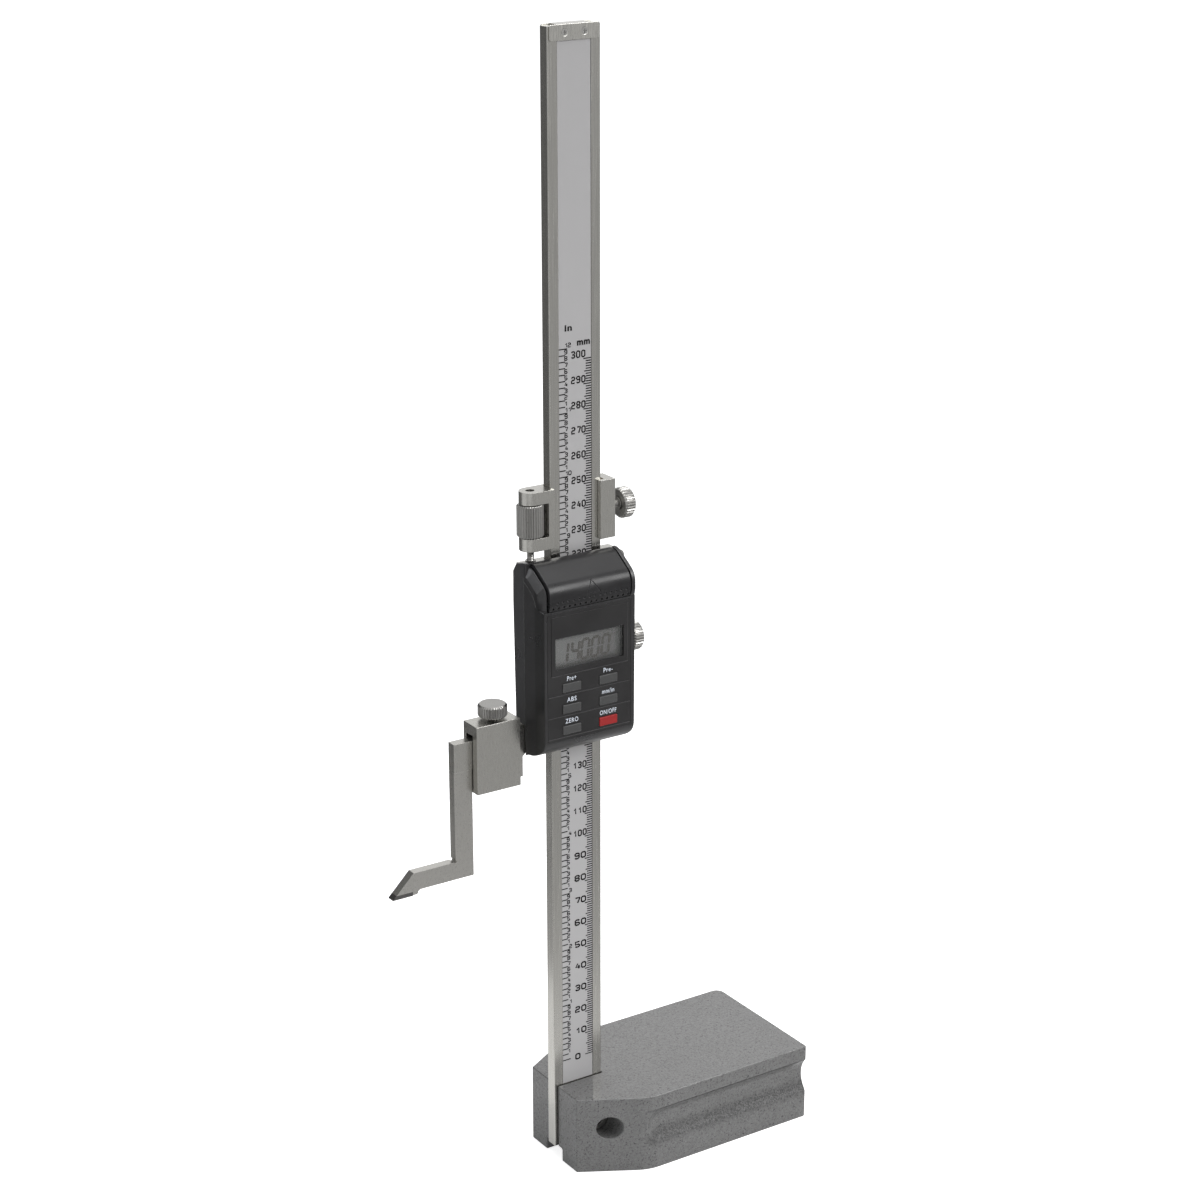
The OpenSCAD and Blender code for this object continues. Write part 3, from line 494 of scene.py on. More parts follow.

# %% [markdown]
# ### Steel
# The column, the slider and the scriber are steel, ground and then left satin.
# Grinding lines run along each piece, edges are a little brighter from wear and as a
# painted highlight, and old handling leaves broad, faint clouds. Knobs and screws
# get painted shade deep in their grooves. One recipe makes all of them, with its own
# tone, grain direction and gloss for each.

# %% Steel finishes
def steel(name, color, roughness, stretch, contrast, height=0.00001,
          edge_wear_and_light_color=(0.8, 0.79, 0.76), radius=0.0004, shade_in_grooves=0.0):
    material, tree, shader = new_material(name, 1.0, roughness, color)
    lines = use_group(tree, grain, Stretch=stretch)[0]
    clouds = use_group(tree, mottle, Coarse=30.0, Fine=2500.0)["Tone"]
    dark = tuple(c * (1 - contrast) for c in color)
    light = tuple(min(1.0, c * (1 + contrast)) for c in color)
    tone = fade(lines, 0.3, 0.7, dark, light)
    tone = fade(clouds, 0.35, 0.75, tone, dark, 0.25)
    # edges paler from wear and as a painted highlight
    tone = fade(use_group(tree, edge, Radius=radius)[0], 0.0, 1.0, tone, edge_wear_and_light_color, 0.7)
    # painted shade deep in the grooves of knobs and screws
    if shade_in_grooves:
        tone = fade(use_group(tree, cavity_shade)[0], 0.0, 1.0, tone, (0.03, 0.028, 0.026), shade_in_grooves)
    feed(shader.inputs["Base Color"], tone)
    feed(shader.inputs["Roughness"],
         map_range(lines, 0.25, 0.75, roughness - 0.06, roughness + 0.08))
    bump(shader, lines, 0.35, height)
    return material


along_z = (2600.0, 2600.0, 45.0)
even = (2500.0, 2500.0, 2500.0)
beam_steel = steel("beam_steel", (0.48, 0.472, 0.445), 0.22, along_z, 0.07, 0.000005,
                   (0.6, 0.59, 0.56), 0.0002)
slider_steel = steel("slider_steel", (0.48, 0.472, 0.445), 0.28, (5200.0, 5200.0, 260.0), 0.07,
                     0.000004, (0.65, 0.64, 0.61), 0.0003)
scriber_steel = steel("scriber_steel", (0.49, 0.48, 0.455), 0.30, (4000.0, 2500.0, 1200.0), 0.05,
                      0.000003, (0.6, 0.59, 0.57), 0.0002)
knob_steel = steel("knob_steel", (0.33, 0.325, 0.313), 0.31, even, 0.04, 0.000002,
                   (0.5, 0.49, 0.475), 0.0002, shade_in_grooves=0.9)
screw_steel = steel("screw_steel", (0.35, 0.345, 0.335), 0.33, even, 0.1, shade_in_grooves=0.6)
carbide = steel("carbide", (0.15, 0.147, 0.145), 0.33, (60.0, 2200.0, 2600.0), 0.2,
                edge_wear_and_light_color=(0.3, 0.29, 0.28))
cell_steel = steel("cell_steel", (0.6, 0.6, 0.59), 0.25, even, 0.06)
brass = steel("brass", (0.6, 0.44, 0.18), 0.33, along_z, 0.12, edge_wear_and_light_color=(0.75, 0.6, 0.33))

# %% [markdown]
# ### Hammered paint
# The foot is cast iron under grey hammer-finish paint. Such paint dries into shallow
# dimples, and small dark flecks show where it runs thin. Three patterns make it:
# soft clouds, a twisted noise for the bump and a sharp threshold on fine noise for
# the flecks. A painted shade darkens the finger groove, which a band in Z and the
# distance from the outer side pick out; a painted shadow line lies under its upper
# lip, and a painted dark line runs along the edges. A thin glossy coat mirrors the
# column.

# %% Hammered paint for the foot
def hammered_paint():
    material, tree, shader = new_material("casting", 0.0, 0.5)
    clouds = use_group(tree, mottle, Coarse=60.0, Fine=900.0)
    flecks, orange_peel = (
        add_node(tree, "ShaderNodeTexNoise",
                 {"Vector": object_place(tree), "Scale": scale, "Detail": 2.0,
                  "Roughness": rough, "Distortion": twist}).outputs["Fac"]
        for scale, rough, twist in ((1500.0, 0.6, 0.9), (520.0, 0.5, 1.2)))
    tone = fade(clouds["Tone"], 0.3, 0.7, (0.142, 0.141, 0.139), (0.158, 0.157, 0.155))
    tone = fade(clouds["Speck"], 0.38, 0.66, tone, (0.107, 0.106, 0.105), 0.5)
    tone = fade(flecks, 0.575, 0.64, tone, (0.024, 0.0235, 0.023), 0.9)
    tone = fade(flecks, 0.38, 0.30, tone, (0.246, 0.245, 0.242), 0.45)

    # the groove lies inside the outer sides and behind the nose
    x, y, z = object_xyz(tree)
    side = calc("ABSOLUTE", y)
    behind_nose = map_range(x, 0.014, 0.022)
    from_low_half = calc("ABSOLUTE", calc("SUBTRACT", z, 0.0138))
    # painted shade in the finger groove
    groove_shade = product(map_range(from_low_half, 0.0042, 0.0012), map_range(side, 0.03265, 0.0323),
                    behind_nose, map_range(flecks, 0.42, 0.56, 0.35))
    tone = mix_colors(groove_shade, tone, (0.035, 0.034, 0.034))
    # painted shadow line under the groove's upper lip
    from_lip = calc("ABSOLUTE", calc("SUBTRACT", z, 0.0273))
    lip_shadow = product(map_range(from_lip, 0.0007, 0.0003, 0.0, 0.8),
                  map_range(side, 0.03245, 0.0323), behind_nose)
    tone = mix_colors(lip_shadow, tone, (0.02, 0.02, 0.02))
    # painted shade: a dark line along the foot's edges
    tone = fade(use_group(tree, edge, Radius=0.0009)[0], 0.0, 1.0, tone,
                (0.085, 0.085, 0.083), 0.45)
    feed(shader.inputs["Base Color"], tone)
    feed(shader.inputs["Roughness"], map_range(clouds["Speck"], 0.3, 0.7, 0.45, 0.62))

    # the coat is thickest on the top and missing where the painted groove shade lies
    foot_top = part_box("base")[1][2]
    feed(shader.inputs["Coat Weight"],
         product(map_range(z, foot_top - 0.0008, foot_top - 0.0004, 0.45, 0.85),
                 map_range(groove_shade, 0.0, 0.25, 1.0, 0.0)))
    shader.inputs["Coat Roughness"].default_value = 0.07
    bump(shader, orange_peel, 0.5, 0.00022)
    return material


casting = hammered_paint()

# %% [markdown]
# ### Plastics, film and paint
# The housing is black moulded plastic with a fine texture, which is why it shines
# softly instead of sharply. The front panel is a smoother film, the keys are matt
# plastic, and the scale strip is silvery enamel. Each gets a fine bump, some
# unevenness in its gloss and its own edge tone; the paler edges are painted
# highlights.

# %% Moulded and coated finishes
def moulded(name, color, roughness, texture=3500.0, depth=0.00002, edge_wear_and_light_color=None,
            dust=0.06, dust_color=(0.1, 0.1, 0.1), specular=0.5, radius=0.0003):
    material, tree, shader = new_material(name, 0.0, roughness, color)
    shader.inputs["Specular IOR Level"].default_value = specular
    uneven = use_group(tree, mottle, Coarse=60.0, Fine=texture)
    edge_wear_and_light_tone = edge_wear_and_light_color or tuple(min(1.0, c * 1.6 + 0.01) for c in color)
    tone = fade(uneven["Tone"], 0.35, 0.75, color, dust_color, dust)
    # edge tone, on most pieces paler as a painted highlight
    tone = fade(use_group(tree, edge, Radius=radius)[0], 0.0, 1.0, tone, edge_wear_and_light_tone, 0.6)
    feed(shader.inputs["Base Color"], tone)
    feed(shader.inputs["Roughness"],
         map_range(uneven["Tone"], 0.3, 0.7, roughness - 0.08, roughness + 0.08))
    bump(shader, uneven["Speck"], 0.4, depth)
    return material


def ink(name, color, roughness):
    return moulded(name, color, roughness, dust=0.0, specular=0.1, edge_wear_and_light_color=color)


black_plastic = moulded("black_plastic", (0.027, 0.0265, 0.028), 0.33,
                        edge_wear_and_light_color=(0.06, 0.06, 0.062))
# the lid's pale edge is a painted highlight
lid_plastic = moulded("lid_plastic", (0.014, 0.0135, 0.0145), 0.3,
                      edge_wear_and_light_color=(0.1, 0.1, 0.104), specular=0.3, radius=0.0004)
panel_film = moulded("panel_film", (0.017, 0.0162, 0.0167), 0.42, 2500.0, 0.00001,
                     specular=0.35)
line_highlight = moulded("line_highlight", (0.068, 0.067, 0.068), 0.4, 2500.0, 0.00001, specular=0.3)
# the keys' pale edges are painted highlights on their bevels
key_plastic = moulded("key_plastic", (0.058, 0.058, 0.058), 0.45, 3000.0,
                      edge_wear_and_light_color=(0.34, 0.34, 0.34), specular=0.3, radius=0.0005)
red_key = moulded("red_key_plastic", (0.3, 0.016, 0.016), 0.42, 3000.0, specular=0.3,
                  edge_wear_and_light_color=(0.45, 0.06, 0.055), dust_color=(0.25, 0.03, 0.03))
rubber = moulded("contact_rubber", (0.2, 0.2, 0.21), 0.7)
board = moulded("board", (0.02, 0.11, 0.045), 0.35, 900.0, edge_wear_and_light_color=(0.1, 0.16, 0.08))
enamel = moulded("scale_enamel", (0.42, 0.413, 0.415), 0.42, 2200.0, 0.00001,
                 dust_color=(0.36, 0.355, 0.35), edge_wear_and_light_color=(0.12, 0.12, 0.12), specular=0.05)
scale_ink = ink("scale_ink", (0.007, 0.006, 0.006), 0.5)
legend_ink = moulded("legend_ink", (0.75, 0.8, 0.88), 0.5, dust=0.0, specular=0.2)
lcd_ink = ink("lcd_ink", (0.062, 0.055, 0.052), 0.6)
lcd_face = moulded("lcd_glass", (0.143, 0.144, 0.141), 0.45, 60.0, 0.00001,
                   dust_color=(0.134, 0.134, 0.132), specular=0.1)
shell_plastic = moulded("shell_plastic", (0.019, 0.0184, 0.0195), 0.33,
                        edge_wear_and_light_color=(0.06, 0.06, 0.062))
print("materials:", len(bpy.data.materials))

# %% [markdown]
# ### Tones that change over a piece
# Three finishes change with the place on the piece. The display's glass darkens
# towards the right and the bottom of its window, a painted shade. The strip's tone
# falls a little towards the top. The housing's left side is moulded in planes, each
# with its own painted shade, and the slanted facet of its cheek gets a painted
# highlight, most of all at its top.

# %% Tones by place
def painted(material):
    """A material's node tree, its colour socket and what feeds that socket."""
    tree = material.node_tree
    socket = tree.nodes["Principled BSDF"].inputs["Base Color"]
    return tree, socket, socket.links[0].from_socket


tree, socket, tone = painted(lcd_face)
x, y, z = object_xyz(tree)
# painted shade: darker towards the right, and most at the window's right and bottom rims
tone = fade(x, -0.019, 0.0105, tone, (0.093, 0.092, 0.09))
lens_low, lens_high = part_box("display_lens")
for value, start, end in ((x, lens_high[0] - 0.0042, lens_high[0] - 0.0012),
                          (z, lens_low[2] + 0.0036, lens_low[2] + 0.0012)):
    tone = fade(value, start, end, tone, (0.04, 0.038, 0.037), 0.85)
feed(socket, tone)

tree, socket, tone = painted(enamel)
feed(socket, fade(object_xyz(tree)[2], 0.12, 0.46, tone, (0.33, 0.324, 0.326), 0.75))

tree, socket, tone = painted(shell_plastic)
x, y, z = object_xyz(tree)
# painted shade: each plane of the left side gets its own tone
left_side = map_range(x, -0.0252, -0.0254)
for start, end, plane_shade_tone in ((0.1, 0.05, (0.026, 0.0255, 0.027)),
                               (-0.0050, -0.0046, (0.044, 0.0435, 0.046)),
                               (-0.0123, -0.0127, (0.014, 0.014, 0.0145))):
    tone = mix_colors(product(left_side, map_range(y, start, end)), tone, plane_shade_tone)
# painted highlight on the cheek's slanted facet, strongest at its top
facing = add_node(tree, "ShaderNodeNewGeometry")
slope = add_node(tree, "ShaderNodeSeparateXYZ", {0: facing.outputs["True Normal"]}).outputs
facet_highlight = product(map_range(slope[0], -0.85, -0.9), map_range(slope[2], 0.265, 0.36))
feed(socket, mix_colors(facet_highlight, tone, (0.2, 0.2, 0.206)))

lens, tree, shader = new_material("clear_lens", 0.0, 0.06, (0.5, 0.51, 0.5))
shader.inputs["Alpha"].default_value = 0.05
shader.inputs["Specular IOR Level"].default_value = 0.4
smears = use_group(tree, mottle, Coarse=200.0, Fine=2500.0)["Tone"]
feed(shader.inputs["Roughness"], map_range(smears, 0.3, 0.7, 0.03, 0.12))
print("lens alpha:", round(shader.inputs["Alpha"].default_value, 2))

# %% [markdown]
# ## The foot
# The real foot is a casting. Its top edges are soft, where the sand mould was
# rounded. A rounded copy of the CAD mesh is enough here: the shape is right, and the
# bevel gives the soft edge. The bevel draws the rear corners out by a twentieth of a
# millimetre, so the copy is drawn in again to end where the CAD box ends.

# %% Foot and its clamp screw
foot = rounded_copy("base", "foot", 0.5, 3)
low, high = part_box("base")
reach = max(v.co.x for v in foot.data.vertices)
choose(foot, "polygons", lambda face, places: True)
resize((high[0] - low[0]) / (reach - low[0]), 1, (low[0], 0, 0))
leave_edit()
dress(foot, casting, "casting", "base")
dress(rounded_copy("beam_clamp_screw", "beam_bolt", 0.25), screw_steel, "screw_steel",
      "beam_clamp_screw")

# %% [markdown]
# ## Column, carriage, slider, clamp and scriber
# The beam is a flat bar, ground on all sides. The end stop is folded from sheet, so
# its bends and rims are rounder. The others are milled and ground blocks whose edges
# are only broken with a stone, so the bevels are narrow.

# %% Steel blocks
for node, name, material, slot, *rounding in (
        ("beam", "column", beam_steel, "beam_steel", 0.08, 2, 20),
        ("end_stop", "stop_cap", slider_steel, "slider_steel", 0.15, 3),
        ("carriage", "carriage_block", slider_steel, "slider_steel", 0.2),
        ("slider_frame", "slider_block", slider_steel, "slider_steel", 0.2),
        ("clamp_box", "clamp_frame", slider_steel, "slider_steel", 0.22),
        ("scriber", "scriber_blank", scriber_steel, "slider_steel", 0.15),
        ("carbide_tip", "hard_tip", carbide, "carbide", 0.06)):
    dress(rounded_copy(node, name, *rounding), material, slot, node)

# %% [markdown]
# ## Knurled heads
# A straight knurl is rolled into the rim so that fingers can grip it. A disc with
# four corners for each rib is drawn up in three steps, wider and narrower again for
# the chamfers, and then every fourth side face is pushed in, which leaves the ribs
# standing between them and lets them fade into the chamfers. The shank is extruded
# out of the back face, ring by ring where it carries a thread.

# %% Knurl and thread helpers
CHAMFER = 0.7


def knurled(name, diameter, thickness, ribs, chamfer=CHAMFER, depth=0.35):
    """A knurled disc from Z 0 up, with its back face at Z 0."""
    radius, small = diameter / 2, diameter / 2 - chamfer
    put_down()
    bpy.ops.mesh.primitive_circle_add(vertices=4 * ribs, radius=small * MM, fill_type="NGON")
    head = bpy.context.active_object
    head.name = name
    open_whole(head)
    for rise, scale in ((chamfer, radius / small), (thickness - 2 * chamfer, 1.0),
                        (chamfer, small / radius)):
        extrude(rise * MM)
        resize(scale, scale)
    face_outwards()
    step = math.pi / 2 / ribs

    def fourth(face, places):
        middle = sum(places, Vector()) / len(places)
        turn = math.atan2(middle.y, middle.x) % (2 * math.pi)
        upright = len(places) == 4 and abs(middle.z - thickness / 2 * MM) < 0.01 * MM
        return upright and int(turn / step) % 4 == 2

    choose(head, "polygons", fourth)
    inward = (radius - depth) / radius
    resize(inward, inward)
    leave_edit()
    return head


def narrow(head, z, radius, wanted):
    """Insets the end face at height z from one radius to another."""
    choose(head, "polygons",
           lambda f, p: len(p) > 8 and all(abs(v.z - z * MM) < 0.01 * MM for v in p))
    bpy.ops.mesh.inset(thickness=(radius - wanted) * MM)


def draw_out(length, scale=1.0):
    extrude(-length * MM)
    if scale != 1.0:
        resize(scale, scale)


def thread(length, pitch, crest=0.88):
    """Extrudes the selected end face downwards in rings that stand for a thread."""
    turns = int(length / pitch)
    for turn in range(turns):
        draw_out(pitch / 2, crest)
        draw_out(pitch / 2, 1 / crest)
    draw_out(length - turns * pitch)


# %% [markdown]
# The two lock screws are alike, so one is modelled and the other is a copy with its
# own mesh. The heights come from the CAD nodes' boxes, so the heads sit where the
# solids are.

# %% Lock screws
head_d, head_t, neck_r, screw_r = 12.4, 4.9, 2.65, 1.45
first_lock = knurled("carriage_lock_knob", head_d, head_t, 30)
narrow(first_lock, 0, head_d / 2 - CHAMFER, neck_r)
draw_out(0.8)
bpy.ops.mesh.inset(thickness=(neck_r - screw_r) * MM)
thread(7.0, 0.5)
leave_edit()
second_lock = new_object("slider_lock_knob", first_lock.data.copy())
for knob, node in ((first_lock, "carriage_lock_screw"), (second_lock, "slider_lock_screw")):
    low, high, center = box_mm(node)
    knob.data.transform(Matrix.Rotation(math.radians(90), 4, "Y"))
    shift(knob, high[0] - head_t, center[1], center[2])
    finish_shading(knob, 35)
    dress(knob, knob_steel, "knob_steel", node)

# %% [markdown]
# The clamp screw stands upright on the clamp. Its head is a little narrower, and its
# thread goes down to where the solid's shank ends.

# %% Clamp screw
low, high, center = box_mm("clamp_screw")
head_d, head_t, screw_r = 11.8, 5.2, 1.95
clamp_knob = knurled("clamp_knob", head_d, head_t, 34)
narrow(clamp_knob, 0, head_d / 2 - CHAMFER, screw_r)
thread(high[2] - head_t - low[2], 0.7)
leave_edit()
shift(clamp_knob, center[0], center[1], high[2] - head_t)
finish_shading(clamp_knob, 35)
dress(clamp_knob, knob_steel, "knob_steel", "clamp_screw")

# %% [markdown]
# The fine adjusting nut has a bore for its screw. Both end faces are inset down to
# the bore, their middles deleted and the two rims bridged. The screw starts as its
# collar: the plain lower end is drawn out of one face and the thread of the other,
# with the piece turned over in between.

# %% Fine adjusting nut and screw
low, high, center = box_mm("fine_adjust_nut")
nut_d, nut_h, nut_chamfer, bore_r = 10.8, high[2] - low[2], 0.6, 1.5
nut = knurled("fine_nut", nut_d, nut_h, 32, chamfer=nut_chamfer)
for z in (0, nut_h):
    narrow(nut, z, nut_d / 2 - nut_chamfer, bore_r)
    leave_edit()


def at_bore(item, places):
    return all(v.xy.length < (bore_r + 0.1) * MM for v in places)


choose(nut, "polygons", lambda f, p: len(p) > 8 and at_bore(f, p))
bpy.ops.mesh.delete(type="FACE")
bpy.ops.mesh.select_all(action="DESELECT")
leave_edit()
choose(nut, "edges", at_bore)
bpy.ops.mesh.bridge_edge_loops()
leave_edit()
shift(nut, center[0], center[1], low[2])
finish_shading(nut, 35)
dress(nut, knob_steel, "knob_steel", "fine_adjust_nut")

low, high, center = box_mm("fine_adjust_screw")
slider_top = box_mm("slider_frame")[1][2]
collar_r, collar_t, screw_r = 2.1, 1.4, 1.45
turned_over = Matrix.Scale(-1, 4, (0, 0, 1))
put_down()
bpy.ops.mesh.primitive_cylinder_add(vertices=32, radius=collar_r * MM, depth=collar_t * MM,
                                    location=(0, 0, collar_t / 2 * MM))
fine_screw = bpy.context.active_object
fine_screw.name = "fine_screw"
bpy.ops.object.transform_apply(location=True)
narrow(fine_screw, 0, collar_r, screw_r)
draw_out(slider_top - low[2])
leave_edit()
fine_screw.data.transform(turned_over)
narrow(fine_screw, -collar_t, collar_r, screw_r)
thread(high[2] - slider_top - collar_t, 0.6)
face_outwards()
leave_edit()
fine_screw.data.transform(turned_over)
shift(fine_screw, center[0], center[1], slider_top)
open_whole(fine_screw)
face_outwards()
leave_edit()
finish_shading(fine_screw, 35)
dress(fine_screw, knob_steel, "knob_steel", "fine_adjust_screw")

# %% [markdown]
# ## The display housing
# The housing is one moulding with bevelled cheeks, a keel below and a skirt that
# covers the slider's left side. Its edges have the small radius that a mould
# gives. The panel, the keys and the lid are pieces of their own, because they are
# separate on the real thing and some of them move.

# %% Housing, panel and keys
dress(rounded_copy("display_housing", "housing_shell", 0.22, 2, 32, merge=False),
      shell_plastic, "black_plastic", "display_housing")
dress(rounded_copy("front_panel", "panel_sheet", 0.05, 1, merge=False), panel_film,
      "panel_film", "front_panel")
for key in ("preset_plus", "preset_minus", "abs", "unit", "zero", "power"):
    red = key == "power"
    dress(rounded_copy(key + "_button", key + "_key", 0.28, 3), red_key if red else key_plastic,
          "red_key_plastic" if red else "key_plastic", key + "_button")

# %% [markdown]
# ## The battery lid
# The lid slides up between the cheeks. Two rows of dimples along its lower edge
# give the thumb a grip, and a small triangle points the way. The dimples are cut
# with one mesh of many small balls, through a boolean modifier, and the triangle
# with a thin rod that follows the lid's curve.

# %% Battery lid with its dimples
def row_of_balls(first, last, count, z, radius, depth, face):
    balls = []
    for i in range(count):
        x = first + (last - first) * i / (count - 1)
        put_down()
        bpy.ops.mesh.primitive_uv_sphere_add(segments=12, ring_count=8, radius=radius * MM,
                                             location=(x * MM, (face - radius + depth) * MM,
                                                       z * MM))
        bpy.ops.object.transform_apply(location=True)
        balls.append(bpy.context.active_object)
    return balls


def rods(lines, radius):
    """Thin rods, each through its points in mm and closed or open, as one mesh."""
    data = bpy.data.curves.new("rod", "CURVE")
    data.dimensions = "3D"
    data.bevel_depth = radius * MM
    data.bevel_resolution = 1
    data.use_fill_caps = True
    for points, closed in lines:
        spline = data.splines.new("POLY")
        spline.points.add(len(points) - 1)
        spline.use_cyclic_u = closed
        for point, place in zip(spline.points, points):
            point.co = (*(v * MM for v in place), 1)
    pick(new_object("rod", data))
    bpy.ops.object.convert(target="MESH")
    return bpy.context.active_object


def on_lid(x, z):
    """A point on the lid's front: flat below, round above."""
    rise = max(0.0, z - 257.03)
    return x, -13.4 - math.sqrt(6.9 ** 2 - rise ** 2), z


lid_low = box_mm("battery_lid")[0]
lid = plain_copy("battery_lid", "lid_shell")
corners = [(-3.6, 261.6), (-6.2, 256.7), (0.0, 256.5)]
triangle = [on_lid(x0 + (x1 - x0) * t / 8, z0 + (z1 - z0) * t / 8)
            for (x0, z0), (x1, z1) in zip(corners, corners[1:] + corners[:1]) for t in range(8)]
cutters = row_of_balls(-21.56, 13.2, 15, 252.9, 0.64, 0.85, lid_low[1] + 0.55)
cutters += row_of_balls(-19.8, 12.2, 14, 255.15, 0.6, 0.42, lid_low[1])
cutters.append(rods([(triangle, True)], 0.24))
cutter = join(cutters, "dimple_cutter")
bevel(lid, 0.3, 3, 32)
apply(lid, "BOOLEAN", operation="DIFFERENCE", object=cutter, solver="EXACT")
bpy.data.objects.remove(cutter)
finish_shading(lid, 35)
dress(lid, lid_plastic, "black_plastic", "battery_lid")

# %% [markdown]
# Two fine raised lines mark where the mould's planes meet on the housing's left
# side: a straight seam along the skirt and an arc that follows the cheek.

# %% Moulded beads on the housing's left side
side_x, _, side_z = box_mm("display_housing")[0]
arc = [(side_x, y, z) for y, z in ((-4.9, 260.6), (-7.0, 259.5), (-9.2, 258.1),
                                   (-11.2, 256.4), (-12.6, 254.6), (-13.5, 252.6))]
seam = [(side_x, -4.8, z) for z in (side_z + 5.0, 262.0)]
# the beads take the paler key plastic as a painted highlight of the lit step
beads = join([rods([(arc, False)], 0.11), rods([(seam, False)], 0.09)], "side_beads")
finish_shading(beads, 60)
dress(beads, key_plastic, "black_plastic", body=nodes["display_housing"]["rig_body"])

# %% [markdown]
# ## The printed scale
# Ink is thin but not flat: each mark here is a sliver two hundredths of a
# millimetre thick on the strip. One tick is modelled and repeated with the array
# modifier.

# %% Ticks of the scale
INK = 0.02
INCH = 25.4
UPRIGHT = Matrix.Rotation(math.radians(90), 4, "X")
strip_low, strip_high, strip_middle = box_mm("scale_strip")
left, face_y, right = strip_low[0], strip_low[1], strip_high[0]
scale_zero = 45.12


def ink_sliver(piece):
    """Gives a flat piece the thickness of ink."""
    open_whole(piece)
    extrude(INK * MM)
    face_outwards()
    leave_edit()


def tick(x0, x1, z, height=0.47):
    """One printed line on the strip, from x0 to x1, in mm."""
    put_down()
    bpy.ops.mesh.primitive_plane_add(size=1.0)
    line = bpy.context.active_object
    line.data.transform(Matrix.Diagonal(((x1 - x0) * MM, height * MM, 1, 1)))
    ink_sliver(line)
    line.data.transform(UPRIGHT)
    shift(line, (x0 + x1) / 2, face_y, z)
    return line


def repeat(line, count, step):
    apply(line, "ARRAY", count=count, use_relative_offset=False, use_constant_offset=True,
          constant_offset_displace=(0, 0, step * MM))
    return line


marks = [repeat(repeat(tick(4.8, right, scale_zero + 1), 4, 1), 60, 5),
         repeat(tick(4.1, right, scale_zero + 5), 30, 10),
         repeat(tick(3.7, right, scale_zero), 31, 10),
         repeat(repeat(tick(left, -4.6, scale_zero + INCH / 10), 9, INCH / 10), 12, INCH),
         repeat(tick(left, -3.6, scale_zero), 13, INCH),
         tick(right - 0.2, right, strip_middle[2], strip_high[2] - strip_low[2])]
dress(join(marks, "scale_ticks"), scale_ink, "scale_enamel", body="stand")

# %% [markdown]
# The scale's digits are squared, with strokes of one width. Each is written here as
# strokes on a grid four wide and six high, one pair of figures for each corner. A
# rod follows them and is then pressed flat.

# %% Digits of the scale
STROKES = {"0": ["10 30 41 45 36 16 05 01 10"], "1": ["04 26 20"],
           "2": ["05 16 36 45 44 33 13 02 00 40"],
           "3": ["05 16 36 45 44 33 42 41 30 10 01", "33 13"], "4": ["26 02 42", "34 30"],
           "5": ["46 06 03 33 42 41 30 10 01"], "6": ["45 36 16 05 01 10 30 41 42 33 03"],
           "7": ["06 46 45 20"], "8": ["13 04 05 16 36 45 44 33 42 41 30 10 01 02 13", "13 33"],
           "9": ["43 13 04 05 16 36 45 41 30 10 01"]}


def stroke_digit(char, width, height, stroke):
    lines = []
    for text in STROKES[char]:
        corners = text.split()
        closed = corners[0] == corners[-1]
        if closed:
            corners.pop()
        lines.append(([(stroke / 2 + int(corner[0]) / 4 * (width - stroke), 0,
                        stroke / 2 + int(corner[1]) / 6 * (height - stroke))
                       for corner in corners], closed))
    made = rods(lines, stroke / 2)
    made.data.transform(Matrix.Diagonal((1, INK / stroke, 1, 1)))
    shift(made, 0, -INK / 2, 0)
    return made


def words(text, size, bold):
    """Text in the X-Z plane with its lower left corner at the origin, as a closed mesh."""
    put_down()
    bpy.ops.object.text_add()
    letters = bpy.context.active_object.data
    letters.body = text
    letters.size = size * MM
    letters.extrude = INK / 2 * MM
    letters.offset = bold * MM
    letters.resolution_u = 3
    letters.space_character = 1.12
    bpy.ops.object.convert(target="MESH")
    made = bpy.context.active_object
    shift(made, 0, 0, INK / 2)
    made.data.transform(UPRIGHT)
    corner = Vector([min(v.co[i] for v in made.data.vertices) for i in range(3)])
    made.data.transform(Matrix.Translation((-corner.x, 0, -corner.z)))
    return made


def width_mm(piece):
    xs = [v.co.x for v in piece.data.vertices]
    return (max(xs) - min(xs)) / MM


def fitted_words(text, width, height, bold):
    """Text drawn to an exact width and height in mm."""
    made = words(text, height, bold)
    top = max(v.co.z for v in made.data.vertices) / MM
    made.data.transform(Matrix.Diagonal((width / width_mm(made), 1, height / top, 1)))
    return made


wide, slim, small = ({char: stroke_digit(char, *size) for char in STROKES}
                     for size in ((2.85, 3.15, 0.84), (2.15, 3.15, 0.74), (1.65, 2.05, 0.52)))


def place_number(text, kind, x, z, pitch=0.0):
    """Copies digits side by side, the first one centred on x and the others a pitch apart."""
    made = []
    for i, char in enumerate(text):
        copy = new_object("digit", kind[char].data.copy())
        shift(copy, x + i * pitch - width_mm(copy) / 2, face_y, z)
        made.append(copy)
    return made


numbers = place_number("0", wide, -0.1, scale_zero - 1.5)
for value in range(10, 310, 10):
    kind, x, pitch = (wide, -0.1, 3.05) if value < 100 else (slim, -1.05, 2.35)
    numbers += place_number(str(value), kind, x, scale_zero + value + 0.45, pitch)
for inch in range(12):
    for tenth in range(1, 10):
        numbers += place_number(str(tenth), small, -4.35,
                                scale_zero + inch * INCH + tenth * INCH / 10 + 0.3)
    text = str(inch + 1)
    numbers += place_number(text, small, -3.45 - 0.75 * (len(text) - 1),
                            scale_zero + (inch + 1) * INCH + 0.35, 1.5)
for text, x, z, width, height in (("mm", 0.8, 305.4, 6.0, 2.0), ("in", -4.8, 311.6, 3.4, 2.5)):
    unit = fitted_words(text, width, height, 0.1)
    shift(unit, x, face_y, scale_zero + z)
    numbers.append(unit)
numerals = join(numbers, "scale_numbers")
